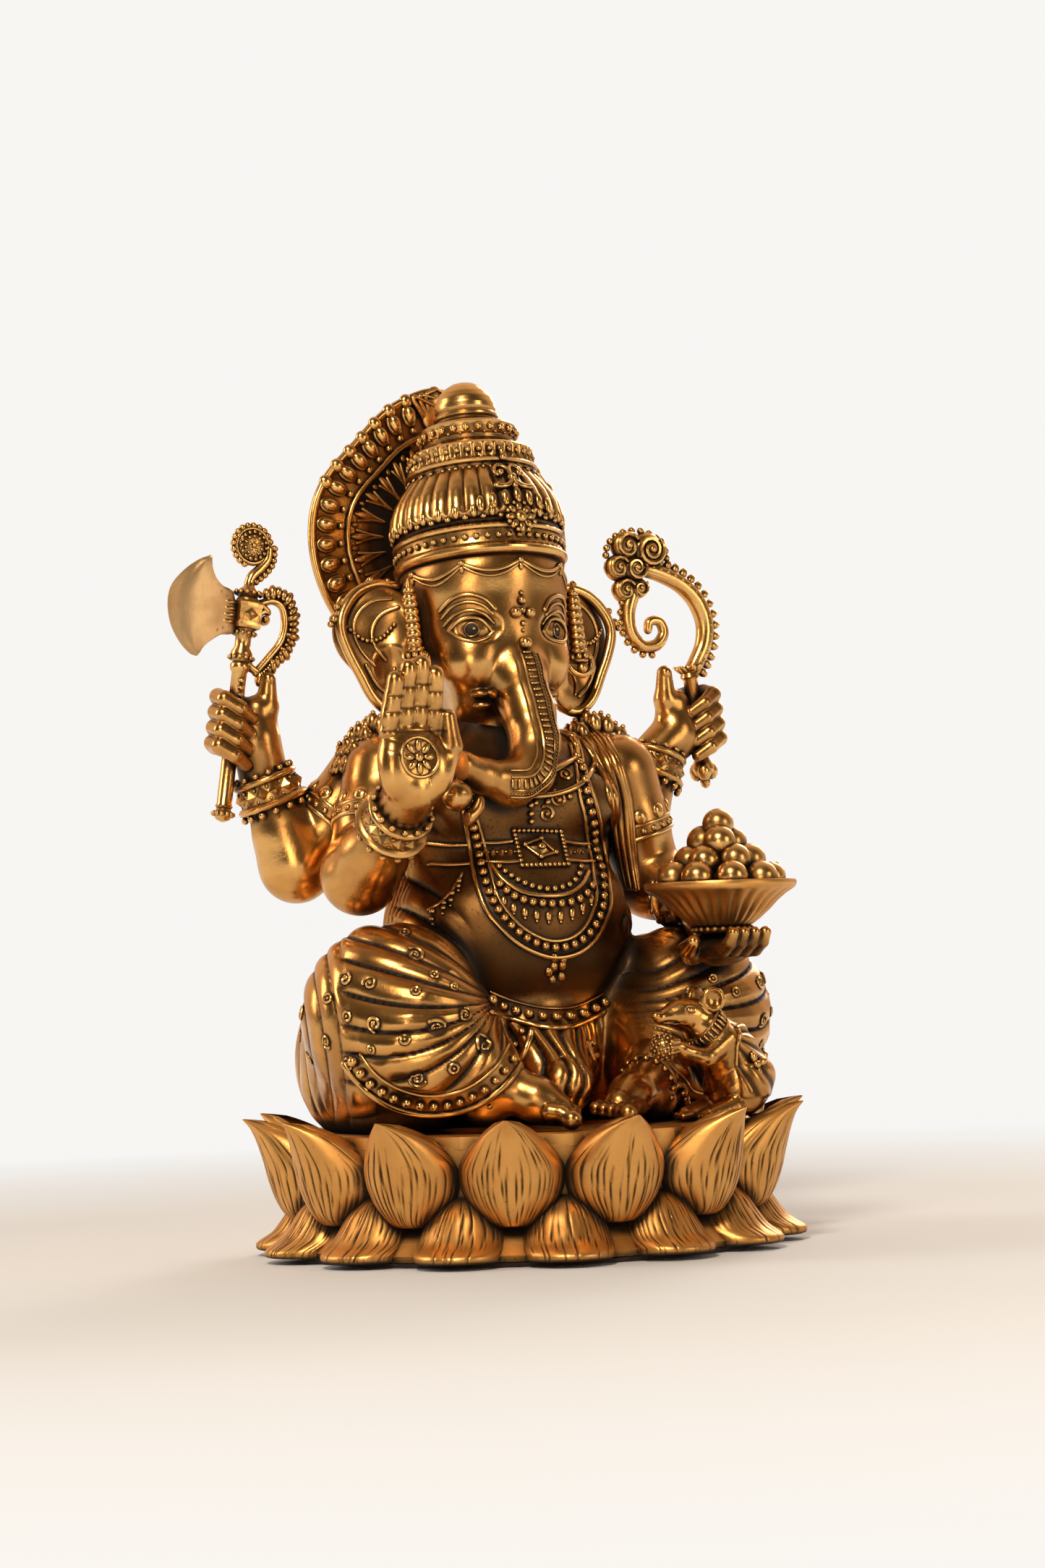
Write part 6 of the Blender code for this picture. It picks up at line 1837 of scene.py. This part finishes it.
def build_stage():
    """A pale floor, a soft warm studio and the camera in front, to the figure's right."""
    n = Nodes("pale_floor")
    n.join(n.mix(n.noise(6, 2), (0.74, 0.80, 0.88), (0.77, 0.83, 0.91)), n.shader.inputs["Base Color"])
    n.shader.inputs["Roughness"].default_value = 0.7
    away = n.add("ShaderNodeVectorMath", operation="LENGTH")
    n.join(n.place, away.inputs[0])
    glow = n.add("ShaderNodeEmission")
    glow.inputs["Color"].default_value = (0.93, 0.92, 0.90, 1)
    fade = n.add("ShaderNodeMixShader")
    n.join(n.spread(away.outputs["Value"], 0.28, 0.75), fade.inputs["Fac"])
    n.join(n.shader.outputs["BSDF"], fade.inputs[1])
    n.join(glow.outputs["Emission"], fade.inputs[2])
    n.join(fade.outputs["Shader"], n.tree.nodes["Material Output"].inputs["Surface"])
    bm = bmesh.new()
    bmesh.ops.create_grid(bm, x_segments=2, y_segments=2, size=4)
    mesh = bpy.data.meshes.new("floor")
    bm.to_mesh(mesh)
    bm.free()
    mesh.materials.append(n.material)
    floor = bpy.data.objects.new("floor", mesh)
    bpy.context.scene.collection.objects.link(floor)

    world = bpy.data.worlds.new("studio")
    world.use_nodes = True
    tree = world.node_tree
    back = tree.nodes["Background"]
    seen = tree.nodes.new("ShaderNodeLightPath")
    shade = tree.nodes.new("ShaderNodeMix")
    shade.data_type = "RGBA"
    around = tree.nodes.new("ShaderNodeTexCoord")
    facing = tree.nodes.new("ShaderNodeVectorMath")
    facing.operation = "DOT_PRODUCT"
    facing.inputs[1].default_value = (math.sin(math.radians(29)), math.cos(math.radians(29)), 0.25)
    ramp = tree.nodes.new("ShaderNodeMapRange")
    ramp.interpolation_type = "SMOOTHSTEP"
    for socket, value in zip(("From Min", "From Max", "To Min", "To Max"), (-0.25, 0.75, 0.0, 1.0)):
        ramp.inputs[socket].default_value = value
    room = tree.nodes.new("ShaderNodeMix")
    room.data_type = "RGBA"
    room.inputs[6].default_value = (0.048, 0.034, 0.022, 1)
    room.inputs[7].default_value = (0.74, 0.56, 0.42, 1)
    shade.inputs[7].default_value = (0.93, 0.92, 0.90, 1)
    tree.links.new(around.outputs["Generated"], facing.inputs[0])
    tree.links.new(facing.outputs["Value"], ramp.inputs["Value"])
    tree.links.new(ramp.outputs["Result"], room.inputs[0])
    tree.links.new(room.outputs[2], shade.inputs[6])
    tree.links.new(seen.outputs["Is Camera Ray"], shade.inputs[0])
    tree.links.new(shade.outputs[2], back.inputs["Color"])
    bpy.context.scene.world = world

    middle = (0, 0, 0.15)
    area_lamp("key", (-0.9, -1.0, 1.25), middle, (0.30, 0.42), 19, (1.0, 0.85, 0.66))
    area_lamp("fill", (0.7, -1.5, 0.5), middle, (0.5, 0.7), 4.2, (1.0, 0.84, 0.66))
    area_lamp("low_left", (-0.95, -1.25, 0.30), (0, 0, 0.1), (0.45, 0.45), 2.6, (1.0, 0.80, 0.58))
    area_lamp("back_left", (-1.3, 0.8, 0.8), middle, (0.5, 0.9), 9, (1.0, 0.86, 0.72))
    area_lamp("back_right", (1.2, 0.9, 0.9), middle, (0.5, 0.9), 8, (1.0, 0.88, 0.76))

    turn, distance, height, roll = math.radians(-29), 1.25, 0.100, math.radians(2.1)
    camera = bpy.data.objects.new("camera", bpy.data.cameras.new("camera"))
    camera.location = (math.sin(turn) * distance, -math.cos(turn) * distance, height)
    facing = Matrix.Rotation(turn, 4, "Z") @ Matrix.Rotation(math.pi / 2, 4, "X") @ Matrix.Rotation(-roll, 4, "Z")
    camera.rotation_euler = facing.to_euler()
    camera.data.lens = 84.06
    camera.data.shift_x, camera.data.shift_y = 0.0015, 0.1085
    bpy.context.scene.collection.objects.link(camera)
    bpy.context.scene.camera = camera
    bpy.context.scene.view_settings.view_transform = "Standard"


build_all()
build_stage()
